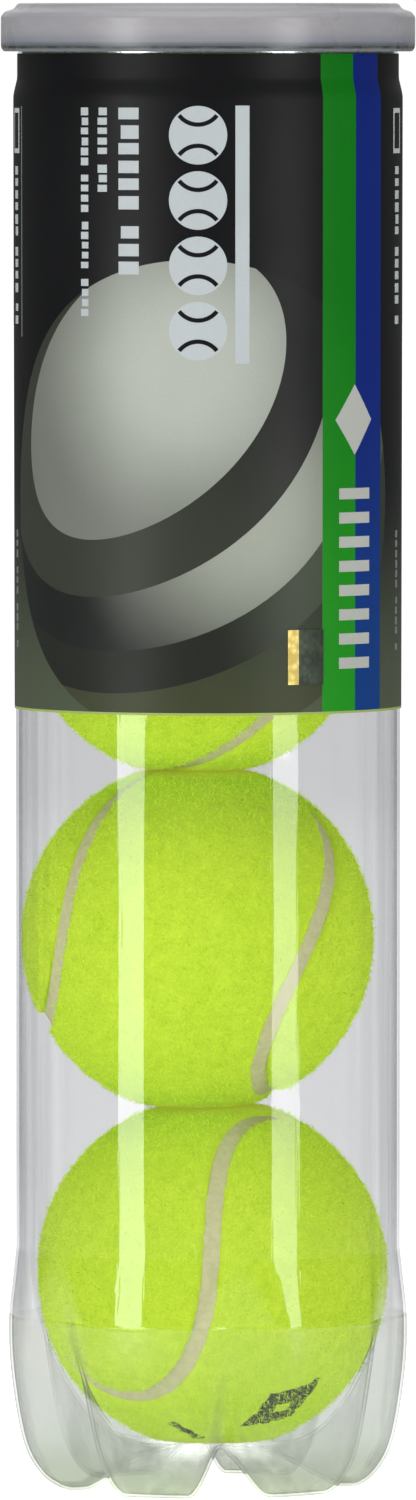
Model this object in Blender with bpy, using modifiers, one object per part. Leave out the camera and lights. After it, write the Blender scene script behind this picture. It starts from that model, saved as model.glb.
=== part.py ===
"""Tennis ball can: a clear PET can with a petaloid base, a sleeve, a
full-aperture aluminium end with a pull tab, a snap-on plastic overcap and four
felt-covered rubber balls inside.

Frame: metres, +Z up, origin on the floor plane under the centre of the base.
The front faces -Y. Azimuths are in degrees, measured from -Y towards +X.
Dimensions are in millimetres and are scaled by MM where geometry is made.
"""

import math

import bmesh
import bpy
from mathutils import Euler, Matrix, Vector

MM = 0.001

# ------------------------------------------------------- dimensions of the can
SEGMENTS = 48                 # facets round every turned can part
FACET = 360.0 / SEGMENTS
FEET = 6                      # lobes of the petaloid base
FOOT_PITCH = 360.0 / FEET
FOOT_AZIMUTH = -21.0          # centre of the first foot
FOOT_FLAT = 13.0              # half angle over which a foot keeps its full section
FOOT_END = FOOT_PITCH / 2.0   # half angle where the section has become the valley

CAN_WALL = 0.6
BODY_R = 36.85                # outer radius under the sleeve
SHOULDER_R, SHOULDER_Z = 37.05, 266.8
NECK_R = 36.3
NECK_Z0, NECK_Z1 = 270.5, 279.0
FLANGE_R = 37.5
BASE_Z = 46.0                 # the base starts to leave the cylinder here

SLEEVE_Z0, SLEEVE_Z1 = 149.7, 275.0
SLEEVE_GAP, SLEEVE_T = 0.1, 0.15

STICKER_AZIMUTHS = (24.0, 31.5, 36.0)
STICKER_HEIGHTS = (155.4, 165.8)
STICKER_GAP, STICKER_T = 0.15, 0.15

# turns every turned part so that one vertex line runs down the foot's middle
PHASE = math.radians((FOOT_AZIMUTH - 90.0) % FACET)


# ------------------------------------------------------- scene and materials
for old in list(bpy.data.objects):
    bpy.data.objects.remove(old, do_unlink=True)


def new_collection(name):
    collection = bpy.data.collections.new(name)
    bpy.context.scene.collection.children.link(collection)
    return collection


parts = new_collection("tennis_ball_can")
cutters = new_collection("tennis_ball_can_cutters")


def material(name, colour, roughness, metallic=0.0, alpha=1.0):
    mat = bpy.data.materials.new(name)
    mat.use_nodes = True
    shader = mat.node_tree.nodes["Principled BSDF"]
    shader.inputs["Base Color"].default_value = (*colour, 1.0)
    shader.inputs["Roughness"].default_value = roughness
    shader.inputs["Metallic"].default_value = metallic
    shader.inputs["Alpha"].default_value = alpha
    return mat


PET = material("clear_pet", colour=(0.90, 0.91, 0.91), roughness=0.06, alpha=0.25)
SLEEVE = material("printed_film", colour=(0.03, 0.033, 0.035), roughness=0.45)
FOIL = material("foil_label", colour=(0.75, 0.58, 0.18), roughness=0.3, metallic=0.6)
ALUMINIUM = material("aluminium", colour=(0.80, 0.80, 0.82), roughness=0.22, metallic=1.0)
COMPOUND = material("seam_compound", colour=(0.30, 0.29, 0.28), roughness=0.8)
CAP = material("cap_polyethylene", colour=(0.62, 0.60, 0.62), roughness=0.35, alpha=0.85)
CORE = material("core_rubber", colour=(0.10, 0.095, 0.09), roughness=0.8)
FELT = material("felt_optic_yellow", colour=(0.52, 0.78, 0.05), roughness=0.95)
BAND = material("seam_rubber", colour=(0.62, 0.60, 0.46), roughness=0.75)


# ------------------------------------------------------------------- helpers
def add(name, mesh, mat, parent=None, collection=parts):
    obj = bpy.data.objects.new(name, mesh)
    if mat:
        mesh.materials.append(mat)
    collection.objects.link(obj)
    obj.parent = parent
    return obj


def empty(name, location, parent=None, rotation=(0.0, 0.0, 0.0)):
    """An empty at a location in mm."""
    obj = bpy.data.objects.new(name, None)
    obj.empty_display_size = 0.01
    obj.location = [value * MM for value in location]
    obj.rotation_euler = rotation
    parts.objects.link(obj)
    obj.parent = parent
    return obj


def axis_and_frame(name, z):
    """An axis at height z, and a frame under it that is back at the origin."""
    axis = empty(name + "_axis", (0.0, 0.0, z))
    return axis, empty(name + "_frame", (0.0, 0.0, -z), axis)


def finish(build, name):
    """Turns a bmesh into a smooth-shaded mesh with its sharp edges marked."""
    mesh = bpy.data.meshes.new(name)
    build.to_mesh(mesh)
    build.free()
    mesh.shade_smooth()
    mesh.set_sharp_from_angle(angle=math.radians(35.0))
    return mesh


def turned(name, profile, mat, steps=SEGMENTS, parent=None, centre=(0.0, 0.0),
           rotation=(0.0, 0.0, PHASE), collection=parts):
    """A profile of (radius, height) turned about its own vertical axis.

    It runs clockwise: down the outside, back up the inside. A profile that
    starts on the axis also ends there; any other is closed into a loop.
    """
    build = bmesh.new()
    verts = [build.verts.new((radius * MM, 0.0, z * MM)) for radius, z in profile]
    for start, end in zip(verts, verts[1:]):
        build.edges.new((start, end))
    if profile[0][0] > 0.0:
        build.edges.new((verts[-1], verts[0]))
    mesh = bpy.data.meshes.new(name)
    build.to_mesh(mesh)
    build.free()
    obj = add(name, mesh, mat, parent, collection)
    obj.location = (centre[0] * MM, centre[1] * MM, 0.0)
    obj.rotation_euler = rotation
    screw = obj.modifiers.new("Turn", "SCREW")
    screw.axis = "Z"
    screw.steps = screw.render_steps = steps
    screw.use_merge_vertices = True
    screw.merge_threshold = 0.00002
    screw.use_smooth_shade = True
    return obj


def sheet(columns, rows, point_at):
    """A bmesh grid with each vertex moved to point_at(column, row)."""
    build = bmesh.new()
    bmesh.ops.create_grid(build, x_segments=columns, y_segments=rows, size=0.5)
    for vert in build.verts:
        column = round((vert.co.x + 0.5) * columns)
        row = round((vert.co.y + 0.5) * rows)
        vert.co = point_at(column, row)
    return build


def weld(build, distance=1e-6):
    bmesh.ops.remove_doubles(build, verts=build.verts[:], dist=distance)


def outward(build, centre_of):
    """Turns an open surface so its faces look away from centre_of(point)."""
    build.normal_update()
    total = 0.0
    for face in build.faces:
        middle = face.calc_center_median()
        total += face.normal.dot(middle - centre_of(middle)) * face.calc_area()
    if total < 0.0:
        bmesh.ops.reverse_faces(build, faces=build.faces[:])


def thicken(obj, modifier_name, thickness, offset):
    """Solidifies a surface: offset -1 grows it inwards, 1 outwards."""
    solidify = obj.modifiers.new(modifier_name, "SOLIDIFY")
    solidify.thickness = thickness * MM
    solidify.offset = offset


def join_hidden(obj, modifier_name, helper):
    """Unites obj with a helper that is not rendered itself."""
    helper.hide_render = True
    helper.display_type = "WIRE"
    union = obj.modifiers.new(modifier_name, "BOOLEAN")
    union.operation = "UNION"
    union.object = helper


def at(azimuth, radius, z):
    """A point in metres from an azimuth in degrees and mm."""
    angle = math.radians(azimuth)
    return Vector((radius * math.sin(angle), -radius * math.cos(angle), z)) * MM


# ------------------------------------------------------------------ can body
# sections as (radius, height), from the flange down to the centre of the base
WALL_TOP = [
    (FLANGE_R, 279.9), (36.7, 279.6), (NECK_R, NECK_Z1), (NECK_R, NECK_Z0),
    (SHOULDER_R, SHOULDER_Z), (BODY_R, SLEEVE_Z0), (BODY_R, BASE_Z),
]
# through the middle of a foot
FOOT_SECTION = WALL_TOP + [
    (37.5, 40.0), (38.2, 33.0), (38.0, 24.0), (36.5, 13.0), (34.7, 6.5),
    (31.9, 2.2), (28.4, 0.0), (25.0, 0.0), (21.4, 1.6), (15.0, 5.0),
    (8.0, 7.3), (0.0, 7.7),
]
# through a valley between two feet
VALLEY_SECTION = WALL_TOP + [
    (36.75, 40.5), (36.1, 35.0), (34.8, 30.0), (32.4, 24.5), (29.6, 19.4),
    (26.8, 15.4), (24.0, 12.3), (21.2, 10.2), (18.4, 9.0), (13.0, 8.2),
    (7.0, 7.7), (0.0, 7.7),
]


def footness(azimuth):
    """1 over a foot, 0 along a valley, eased between."""
    from_foot = abs((azimuth - FOOT_AZIMUTH + FOOT_PITCH / 2.0) % FOOT_PITCH - FOOT_PITCH / 2.0)
    fade = min(max((from_foot - FOOT_FLAT) / (FOOT_END - FOOT_FLAT), 0.0), 1.0)
    return 1.0 - fade * fade * (3.0 - 2.0 * fade)


def wall_point(column, station):
    azimuth = FOOT_AZIMUTH + FACET * (column % SEGMENTS)
    share = footness(azimuth)
    radius, z = [
        share * foot + (1.0 - share) * valley
        for foot, valley in zip(FOOT_SECTION[station], VALLEY_SECTION[station])
    ]
    return at(azimuth, radius, z)


def make_can_body():
    build = sheet(SEGMENTS, len(FOOT_SECTION) - 1, wall_point)
    weld(build)
    outward(build, lambda point: Vector((0.0, 0.0, 0.1)))
    body = add("can_body", finish(build, "can_body"), PET)
    thicken(body, "Wall", CAN_WALL, offset=-1.0)


# -------------------------------------------------------- sleeve and sticker
def make_sleeve():
    """A film that follows the can from its neck down to SLEEVE_Z0."""
    line = [
        (NECK_R, SLEEVE_Z1), (NECK_R, NECK_Z0), (SHOULDER_R, SHOULDER_Z), (BODY_R, SLEEVE_Z0),
    ]
    outside = [(radius + SLEEVE_GAP + SLEEVE_T, z) for radius, z in line]
    inside = [(radius + SLEEVE_GAP, z) for radius, z in reversed(line)]
    turned("label_sleeve", outside + inside, SLEEVE)


def on_facet(azimuth, radius):
    """Radius of a point on the flat facets that a turned part really has."""
    from_middle = (azimuth - FOOT_AZIMUTH) % FACET - FACET / 2.0
    return radius * math.cos(math.radians(FACET / 2.0)) / math.cos(math.radians(from_middle))


def sticker_point(column, row):
    azimuth = STICKER_AZIMUTHS[column]
    radius = BODY_R + SLEEVE_GAP + SLEEVE_T + STICKER_GAP
    return at(azimuth, on_facet(azimuth, radius), STICKER_HEIGHTS[row])


def make_sticker():
    build = sheet(len(STICKER_AZIMUTHS) - 1, 1, sticker_point)
    outward(build, lambda point: Vector((0.0, 0.0, point.z)))
    sticker = add("security_sticker", finish(build, "security_sticker"), FOIL)
    thicken(sticker, "Film", STICKER_T, offset=1.0)


# ------------------------------------------------------------- aluminium end
SHEET = 0.3               # aluminium thickness
SEAM_R, SEAM_TOP = 38.1, 281.6
SEAM_INNER_R = 37.8       # inside of the seam's outer wall
CHUCK_R = 35.6            # outside of the wall that drops inside the neck
GROOVE_R = 34.3           # inner side of the groove, under the sheet
GROOVE_Z = 275.0          # underside of the groove
LIP_R = 33.9              # aperture left when the panel is torn out
PANEL_R = LIP_R - 0.1
PANEL_Z = 277.4
PANEL_FLOOR_Z = 276.4     # top of the sunken middle of the panel

TAB_NOSE_R = 31.6         # distance of the nose curl from the can axis
TAB_Z = 278.6             # middle of the tab's thickness
TAB_T = 1.1
NOSE_R, NOSE_LENGTH = 0.8, 9.0
ISLAND_Z, ISLAND_T = 278.0, 0.8
RIVET_X = -7.6            # rivet, measured back from the nose curl

# (radius, height) about the rivet's own axis: head, neck and foot
RIVET_PROFILE = [
    (0.0, 279.2), (2.6, 279.2), (2.6, 278.7), (1.5, 278.7), (1.5, 277.3),
    (3.6, 277.3), (3.6, 276.2), (0.0, 276.2),
]


def make_end_ring():
    """The rolled seam, the groove inside it and the lip round the aperture."""
    turned("end_ring", [
        (37.7, SEAM_TOP), (SEAM_R, 281.2), (SEAM_R, 278.8), (SEAM_INNER_R, 278.4),
        (36.75, 278.4), (36.75, 278.7), (SEAM_INNER_R, 279.0),
        (SEAM_INNER_R, SEAM_TOP - SHEET), (CHUCK_R, SEAM_TOP - SHEET),
        (CHUCK_R, GROOVE_Z), (GROOVE_R, GROOVE_Z), (GROOVE_R, PANEL_Z - SHEET),
        (LIP_R, PANEL_Z - SHEET), (LIP_R, PANEL_Z), (GROOVE_R + SHEET, PANEL_Z),
        (GROOVE_R + SHEET, GROOVE_Z + SHEET), (CHUCK_R - SHEET, GROOVE_Z + SHEET),
        (CHUCK_R - SHEET, SEAM_TOP - SHEET), (CHUCK_R, SEAM_TOP),
    ], ALUMINIUM)


def make_seam_gasket():
    turned("seam_gasket", [(37.4, 281.1), (37.4, 280.8), (36.6, 280.8), (36.6, 281.1)], COMPOUND)


def make_tear_panel(frame):
    """The disc that tears out, joined to the rivet raised from it."""
    panel = turned("tear_panel", [
        (0.0, PANEL_FLOOR_Z), (30.2, PANEL_FLOOR_Z), (31.2, PANEL_Z), (PANEL_R, PANEL_Z),
        (PANEL_R, PANEL_Z - SHEET), (31.4, PANEL_Z - SHEET),
        (30.4, PANEL_FLOOR_Z - SHEET), (0.0, PANEL_FLOOR_Z - SHEET),
    ], ALUMINIUM, parent=frame)
    button = turned("rivet_button", RIVET_PROFILE, None, steps=20, parent=frame,
                    centre=(0.0, TAB_NOSE_R + RIVET_X), collection=cutters)
    join_hidden(panel, "Rivet", button)


def arc(x, radius, start, sweep, count):
    """Points at count + 1 even angles round a circle centred on the x axis."""
    angles = [start + sweep * i / count for i in range(count + 1)]
    return [(x + radius * math.cos(angle), radius * math.sin(angle)) for angle in angles]


def hull_outline(front_x, front_r, back_x, back_r, count=10):
    """Outline round two circles on the x axis, the front one at larger x."""
    tangent = math.acos((back_r - front_r) / (front_x - back_x))
    front = arc(front_x, front_r, -tangent, 2.0 * tangent, count)
    back = arc(back_x, back_r, tangent, 2.0 * math.pi - 2.0 * tangent, count)
    return front + back


def ring_outline(x, radius, count=16):
    return arc(x, radius, 0.0, 2.0 * math.pi, count)[:-1]


def plate(name, outlines, thickness, z, parent):
    """A flat aluminium plate with holes: outlines filled and given thickness."""
    curve = bpy.data.curves.new(name + "_outline", "CURVE")
    curve.dimensions = "2D"
    curve.fill_mode = "BOTH"
    curve.extrude = thickness * MM / 2.0
    for outline in outlines:
        spline = curve.splines.new("POLY")
        spline.points.add(len(outline) - 1)
        for point, (x, y) in zip(spline.points, outline):
            point.co = (x * MM, y * MM, 0.0, 1.0)
        spline.use_cyclic_u = True
    source = bpy.data.objects.new(name + "_outline", curve)
    parts.objects.link(source)
    bpy.context.view_layer.update()
    mesh = bpy.data.meshes.new_from_object(
        source.evaluated_get(bpy.context.evaluated_depsgraph_get())
    )
    bpy.data.objects.remove(source, do_unlink=True)
    build = bmesh.new()
    build.from_mesh(mesh)
    bpy.data.meshes.remove(mesh)
    weld(build)
    bmesh.ops.translate(build, verts=build.verts[:], vec=(0.0, 0.0, z * MM))
    bmesh.ops.recalc_face_normals(build, faces=build.faces[:])
    return add(name, finish(build, name), ALUMINIUM, parent)


def make_nose_curl(hinge):
    """A rod across the front of the tab."""
    build = bmesh.new()
    bmesh.ops.create_cone(build, cap_ends=True, segments=12, radius1=NOSE_R * MM,
                          radius2=NOSE_R * MM, depth=NOSE_LENGTH * MM)
    bmesh.ops.rotate(build, verts=build.verts[:], matrix=Matrix.Rotation(math.pi / 2.0, 3, "X"))
    return add("tab_nose_curl", finish(build, "tab_nose_curl"), None, hinge, cutters)


def make_pull_tab(panel_axis):
    # the hinge line lies across the can at the +Y rim; the tab's own +x,
    # towards its nose, points along +Y
    hinge = empty("tab_hinge", (0.0, TAB_NOSE_R, TAB_Z - PANEL_Z), panel_axis,
                  rotation=(0.0, 0.0, math.radians(90.0)))
    tab = plate("pull_tab", [
        hull_outline(front_x=-5.0, front_r=5.6, back_x=-18.5, back_r=8.5),
        # the opening round the tongue, then the finger hole
        hull_outline(front_x=-5.3, front_r=2.7, back_x=-7.3, back_r=3.9),
        ring_outline(x=-18.9, radius=5.2),
    ], TAB_T, 0.0, hinge)
    join_hidden(tab, "Nose", make_nose_curl(hinge))
    # the tab's tongue, held under the rivet head
    plate("tab_island", [
        hull_outline(front_x=-4.6, front_r=1.3, back_x=RIVET_X, back_r=3.1, count=8),
        ring_outline(x=RIVET_X, radius=1.85),
    ], ISLAND_T, ISLAND_Z - TAB_Z, hinge)


# ------------------------------------------------------------------- overcap
CAP_TOP = 284.6
CAP_R = 39.65
CAP_SKIRT_R = 38.6       # inside of the skirt
CAP_BEAD_R = 38.25       # inside of the bead that snaps under the seam


def make_overcap():
    _, frame = axis_and_frame("cap", CAP_TOP)
    turned("overcap", [
        (0.0, 283.7), (29.9, 283.7), (30.6, CAP_TOP), (36.4, CAP_TOP), (37.2, 283.5),
        (38.9, 283.0), (CAP_R, 282.1), (CAP_R, 276.3), (39.1, 275.4),
        (CAP_SKIRT_R, 275.4), (CAP_BEAD_R, 276.2), (CAP_SKIRT_R, 277.4),
        (CAP_SKIRT_R, 281.9), (36.2, 281.9), (35.4, 283.5), (31.4, 283.5),
        (30.7, 282.7), (0.0, 282.7),
    ], CAP, parent=frame)


# --------------------------------------------------------------------- balls
BALL_R = 33.4
BALL_FLAT = 32.1         # half height of a ball, its nap crushed at the contacts
FELT_INNER_R = 30.2
FELT_BACK = 1.85         # distance of the felt's edge from the seam line
CORE_R, CORE_INNER_R = 29.4, 25.8
CORE_GAP = 0.3           # between the two halves of the core
CORE_ARC, CORE_STEPS = 5, 16
BAND_R, BAND_INNER_R = 32.9, 31.0
BAND_HALF_W = 1.5
BAND_FLAT = BALL_FLAT - 0.3
ROWS, ACROSS = 18, 5     # faces along and across one felt panel

# shape factors of the seam curve, which lies on the unit sphere
CURVE_B = 0.18
CURVE_A = 1.0 - CURVE_B
CURVE_C = 2.0 * math.sqrt(CURVE_A * CURVE_B)

FIRST_BALL_Z, BALL_PITCH = 41.0, 64.5
# from the bottom up: centre x, and the ball's roll as XYZ Euler angles in degrees
BALLS = [
    (0.9, (173.0, 17.0, 90.0)),
    (-2.0, (-158.0, -44.0, -145.0)),
    (-2.5, (48.0, 26.5, 59.0)),
    (0.6, (20.0, 75.0, 35.0)),
]


def seam_point(tau):
    """The closed seam line on the unit sphere, in axes u, v, z."""
    return Vector((
        CURVE_A * math.cos(tau) - CURVE_B * math.cos(3.0 * tau),
        -(CURVE_A * math.sin(tau) + CURVE_B * math.sin(3.0 * tau)),
        CURVE_C * math.cos(2.0 * tau),
    ))


def seam_side(tau):
    """Unit direction across the seam line, into the first felt panel."""
    step = 1e-4
    along = seam_point(tau + step) - seam_point(tau - step)
    return -seam_point(tau).cross(along).normalized()


def beside_seam(tau, offset):
    """Unit direction at an offset in mm from the seam line."""
    angle = offset / BAND_R
    return seam_point(tau) * math.cos(angle) + seam_side(tau) * math.sin(angle)


def from_uvz(point):
    """Turns u, v, z into x, y, z: u and v lie along the diagonals of x and y."""
    half_root = math.sqrt(0.5)
    return Vector(((point.x + point.y) * half_root, (point.x - point.y) * half_root, point.z))


def pressed(direction, radius, half_height):
    """A point at a radius, pressed flat at the top and bottom of the ball."""
    limit = half_height / max(abs(direction.z), 1e-6)
    return direction * (min(radius, limit) * MM)


def felt_mesh(name, turn, second):
    """One dumb-bell of felt: rows of arcs between the two sides of the seam."""
    def felt_point(column, row):
        edge = beside_seam(-math.pi / 2.0 + math.pi * row / ROWS, FELT_BACK)
        reach = math.hypot(edge.y, edge.z)
        angle = math.atan2(edge.x, reach) * (2.0 * column / ACROSS - 1.0)
        point = Vector((
            math.sin(angle),
            edge.y / reach * math.cos(angle),
            edge.z / reach * math.cos(angle),
        ))
        if second:
            point = Vector((point.y, point.x, -point.z))
        return turn @ from_uvz(point)

    build = sheet(ACROSS, ROWS, felt_point)
    # the first and last rows shrink to points
    weld(build, 1e-5)
    bmesh.ops.dissolve_degenerate(build, edges=build.edges[:], dist=1e-6)
    outward(build, lambda point: Vector((0.0, 0.0, 0.0)))
    made = bmesh.ops.extrude_face_region(build, geom=build.faces[:], use_keep_orig=True)
    inner = {item for item in made["geom"] if isinstance(item, bmesh.types.BMVert)}
    for vert in build.verts:
        direction = vert.co.normalized()
        if vert in inner:
            vert.co = direction * (FELT_INNER_R * MM)
        else:
            vert.co = pressed(direction, BALL_R, BALL_FLAT)
    bmesh.ops.recalc_face_normals(build, faces=build.faces[:])
    return finish(build, name)


def band_mesh(name, turn):
    """The rubber band in the seam: a four-sided section led round the curve."""
    count = 2 * ROWS

    def band_point(column, row):
        # corners 0 and 1 are on the outside, 1 and 2 on the first panel's side
        corner = row % 4
        tau = -math.pi / 2.0 + 2.0 * math.pi * (column % count) / count
        offset = BAND_HALF_W if corner in (1, 2) else -BAND_HALF_W
        direction = turn @ from_uvz(beside_seam(tau, offset))
        if corner in (0, 1):
            return pressed(direction, BAND_R, BAND_FLAT)
        return direction * (BAND_INNER_R * MM)

    build = sheet(count, 4, band_point)
    weld(build)
    bmesh.ops.recalc_face_normals(build, faces=build.faces[:])
    return finish(build, name)


def core_arc(radius):
    """Quarter arc from the axis out to the parting plane, raised by half the gap."""
    lift = CORE_GAP / 2.0
    angles = [math.pi / 2.0 * i / CORE_ARC for i in range(CORE_ARC + 1)]
    return [
        (radius * math.sin(angle), lift + (radius - lift) * math.cos(angle)) for angle in angles
    ]


def make_core_half(name, parent, turn):
    """Half of the hollow rubber core, as a turned shell."""
    turned(name, core_arc(CORE_R) + core_arc(CORE_INNER_R)[::-1], CORE,
           steps=CORE_STEPS, parent=parent, rotation=turn.to_euler())


def make_ball(name, x, z, roll):
    centre = empty(name + "_centre", (x, 0.0, z))
    turn = Euler([math.radians(angle) for angle in roll], "XYZ").to_matrix()
    make_core_half(name + "_core_a", centre, turn)
    make_core_half(name + "_core_b", centre, turn @ Matrix.Rotation(math.pi, 3, "X"))
    for suffix, second in (("_felt_a", False), ("_felt_b", True)):
        add(name + suffix, felt_mesh(name + suffix, turn, second), FELT, centre)
    add(name + "_seam", band_mesh(name + "_seam", turn), BAND, centre)


# --------------------------------------------------------------------- build
make_can_body()
make_sleeve()
make_sticker()
make_end_ring()
make_seam_gasket()
panel_axis, panel_frame = axis_and_frame("panel", PANEL_Z)
make_tear_panel(panel_frame)
make_pull_tab(panel_axis)
make_overcap()
for i, (ball_x, ball_roll) in enumerate(BALLS):
    make_ball(f"ball_{i + 1}", ball_x, FIRST_BALL_Z + i * BALL_PITCH, ball_roll)
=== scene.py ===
"""A clear can of four felt balls: a plastic body on six feet, a printed sleeve with a
foil sticker, an aluminium end with a pull tab, and a plastic overcap.

The can stands on z = 0 with its axis on Z and its front towards -Y. Azimuth is
measured from the front, positive towards +X. Shapes are in millimetres; materials,
lights and the camera are in metres."""
import math
from functools import reduce

import bpy
import numpy as np
from mathutils import Euler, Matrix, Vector, noise
from mathutils.geometry import delaunay_2d_cdt

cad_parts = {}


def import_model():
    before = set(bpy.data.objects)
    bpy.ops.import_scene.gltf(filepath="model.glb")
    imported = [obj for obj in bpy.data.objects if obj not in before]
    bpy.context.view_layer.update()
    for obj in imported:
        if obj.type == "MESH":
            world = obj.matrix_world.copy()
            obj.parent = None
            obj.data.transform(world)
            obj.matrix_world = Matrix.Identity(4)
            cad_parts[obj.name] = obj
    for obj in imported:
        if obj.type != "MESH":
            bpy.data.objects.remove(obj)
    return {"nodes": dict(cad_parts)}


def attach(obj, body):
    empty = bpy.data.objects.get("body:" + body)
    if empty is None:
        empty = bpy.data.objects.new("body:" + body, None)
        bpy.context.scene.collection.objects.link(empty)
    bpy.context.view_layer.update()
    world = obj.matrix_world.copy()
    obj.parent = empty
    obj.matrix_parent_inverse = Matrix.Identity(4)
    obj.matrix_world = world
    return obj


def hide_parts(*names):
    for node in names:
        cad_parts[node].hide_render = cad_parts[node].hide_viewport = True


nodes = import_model()["nodes"]


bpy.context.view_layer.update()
MM = 0.001

# ----------------------------------------------------------------- dimensions
FEET = 6
FOOT_PITCH = 360.0 / FEET               # degrees
FOOT_AZ = -21.0                         # azimuth of one foot's middle
FOOT_FLAT, FOOT_END = 13.0, 30.0        # degrees off the middle: full foot, full valley
BODY_R, NECK_R = 36.85, 36.3
WALL = 0.6
SLEEVE_Z0, SLEEVE_Z1 = 149.7, 275.0
# the shoulder, from the neck down: (radius, height)
SHOULDER = [(NECK_R, 270.6), (36.38, 269.9), (36.6, 269.0), (36.88, 267.8),
            (37.03, 266.9), (37.05, 266.0)]

BALL_PITCH, FIRST_BALL_Z = 64.5, 41.0
CONTACT_Z = FIRST_BALL_Z - BALL_PITCH / 2
# from the lowest ball up: sideways shift, then turns about X, Y and Z in degrees
BALLS = [(0.9, (173.0, 17.0, 90.0)), (-2.0, (-158.0, -44.0, -145.0)),
         (-2.5, (48.0, 26.5, 59.0)), (0.6, (20.0, 75.0, 35.0))]


# ------------------------------------------------------------- mesh building
def piece(name, verts, faces, mats, body, node, normals=None, face_mats=None, uv=None):
    """A smooth mesh object, in metres, that stands for a CAD node and rides on a body."""
    mesh = bpy.data.meshes.new(name)
    mesh.from_pydata([tuple(v) for v in verts], [], [tuple(f) for f in faces])
    mesh.update()
    for mat in mats:
        mesh.materials.append(mat)
    if face_mats is not None:
        mesh.polygons.foreach_set("material_index", np.asarray(face_mats, np.int32))
    if uv is not None:
        layer = mesh.uv_layers.new(name="art")
        loops = np.zeros(len(mesh.loops), np.int32)
        mesh.loops.foreach_get("vertex_index", loops)
        layer.data.foreach_set("uv", np.asarray(uv, np.float32)[loops].ravel())
    mesh.shade_smooth()
    if normals is not None:
        mesh.normals_split_custom_set_from_vertices([tuple(n) for n in normals])
    obj = bpy.data.objects.new(name, mesh)
    bpy.context.scene.collection.objects.link(obj)
    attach(obj, body)
    if node:
        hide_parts(node)
    return obj


def angles(count):
    return [2.0 * math.pi * k / count for k in range(count)]


def circle(x, y, radius, count=96):
    return [(x + radius * math.cos(a), y + radius * math.sin(a)) for a in angles(count)]


def at_azimuth(radius, angle, z):
    """The point at an azimuth in radians."""
    return radius * math.sin(angle), -radius * math.cos(angle), z


def next_pairs(loop):
    return zip(loop, loop[1:] + loop[:1])


def without_repeats(loop):
    return [v for i, v in enumerate(loop) if v != loop[i - 1]]


def rounded(profile, radius, closed=True, steps=3):
    """The profile with each corner filleted, as far as its edges allow."""
    points = [Vector(p) for p in profile]
    out = []
    last = len(points) - 1
    for i, corner in enumerate(points):
        if not closed and i in (0, last):
            out.append(corner)
            continue
        before, after = points[i - 1] - corner, points[(i + 1) % len(points)] - corner
        cut = min(radius, before.length * 0.45, after.length * 0.45)
        turn = math.pi - before.angle(after)
        if cut < 1e-4 or turn < math.radians(6):
            out.append(corner)
            continue
        start = corner + before.normalized() * cut
        end = corner + after.normalized() * cut
        for k in range(steps + 1):
            t = k / steps
            out.append(start.lerp(corner, t).lerp(corner.lerp(end, t), t))
    return [(v.x, v.y) for v in out]


def lathe(profile, closed, count, centre_y):
    """Vertices and faces of a (radius, height) profile turned about a vertical axis."""
    verts, rows = [], []
    for radius, z in profile:
        if radius < 1e-6:
            rows.append([len(verts)] * count)
            verts.append((0.0, centre_y * MM, z * MM))
        else:
            rows.append(range(len(verts), len(verts) + count))
            verts += [(x * MM, y * MM, z * MM) for x, y in circle(0.0, centre_y, radius, count)]
    pairs = list(zip(rows, rows[1:])) + ([(rows[-1], rows[0])] if closed else [])
    faces = []
    for up, down in pairs:
        for k in range(count):
            after = (k + 1) % count
            face = without_repeats([up[k], down[k], down[after], up[after]])
            if len(face) > 2:
                faces.append(face)
    return verts, faces


def turned(name, profile, fillet, mat, body, node,
           closed=True, steps=3, count=192, centre_y=0.0):
    """A piece turned from a (radius, height) profile with filleted corners."""
    verts, faces = lathe(rounded(profile, fillet, closed, steps), closed, count, centre_y)
    piece(name, verts, faces, [mat], body, node)


def spline(points, count):
    """Catmull-Rom curve through 2D points, evenly spaced in arc length."""
    p = np.array([points[0], *points, points[-1]], float)
    dense = []
    for i in range(1, len(p) - 2):
        for t in np.linspace(0, 1, 24, endpoint=False):
            dense.append(0.5 * (2 * p[i] + (p[i + 1] - p[i - 1]) * t
                         + (2 * p[i - 1] - 5 * p[i] + 4 * p[i + 1] - p[i + 2]) * t ** 2
                         + (3 * p[i] - p[i - 1] - 3 * p[i + 1] + p[i + 2]) * t ** 3))
    dense.append(p[-2])
    dense = np.array(dense)
    steps = np.linalg.norm(np.diff(dense, axis=0), axis=1)
    length = np.concatenate([[0], np.cumsum(steps)])
    even = np.linspace(0, length[-1], count)
    return np.stack([np.interp(even, length, dense[:, axis]) for axis in (0, 1)], 1)


def vertex_normals(verts, faces):
    out = np.zeros_like(verts)
    for face in faces:
        for i in range(1, len(face) - 1):
            corners = [face[0], face[i], face[i + 1]]
            a, b, c = verts[corners]
            normal = np.cross(b - a, c - a)
            for corner in corners:
                out[corner] += normal
    return out / np.maximum(np.linalg.norm(out, axis=1, keepdims=True), 1e-20)


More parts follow.
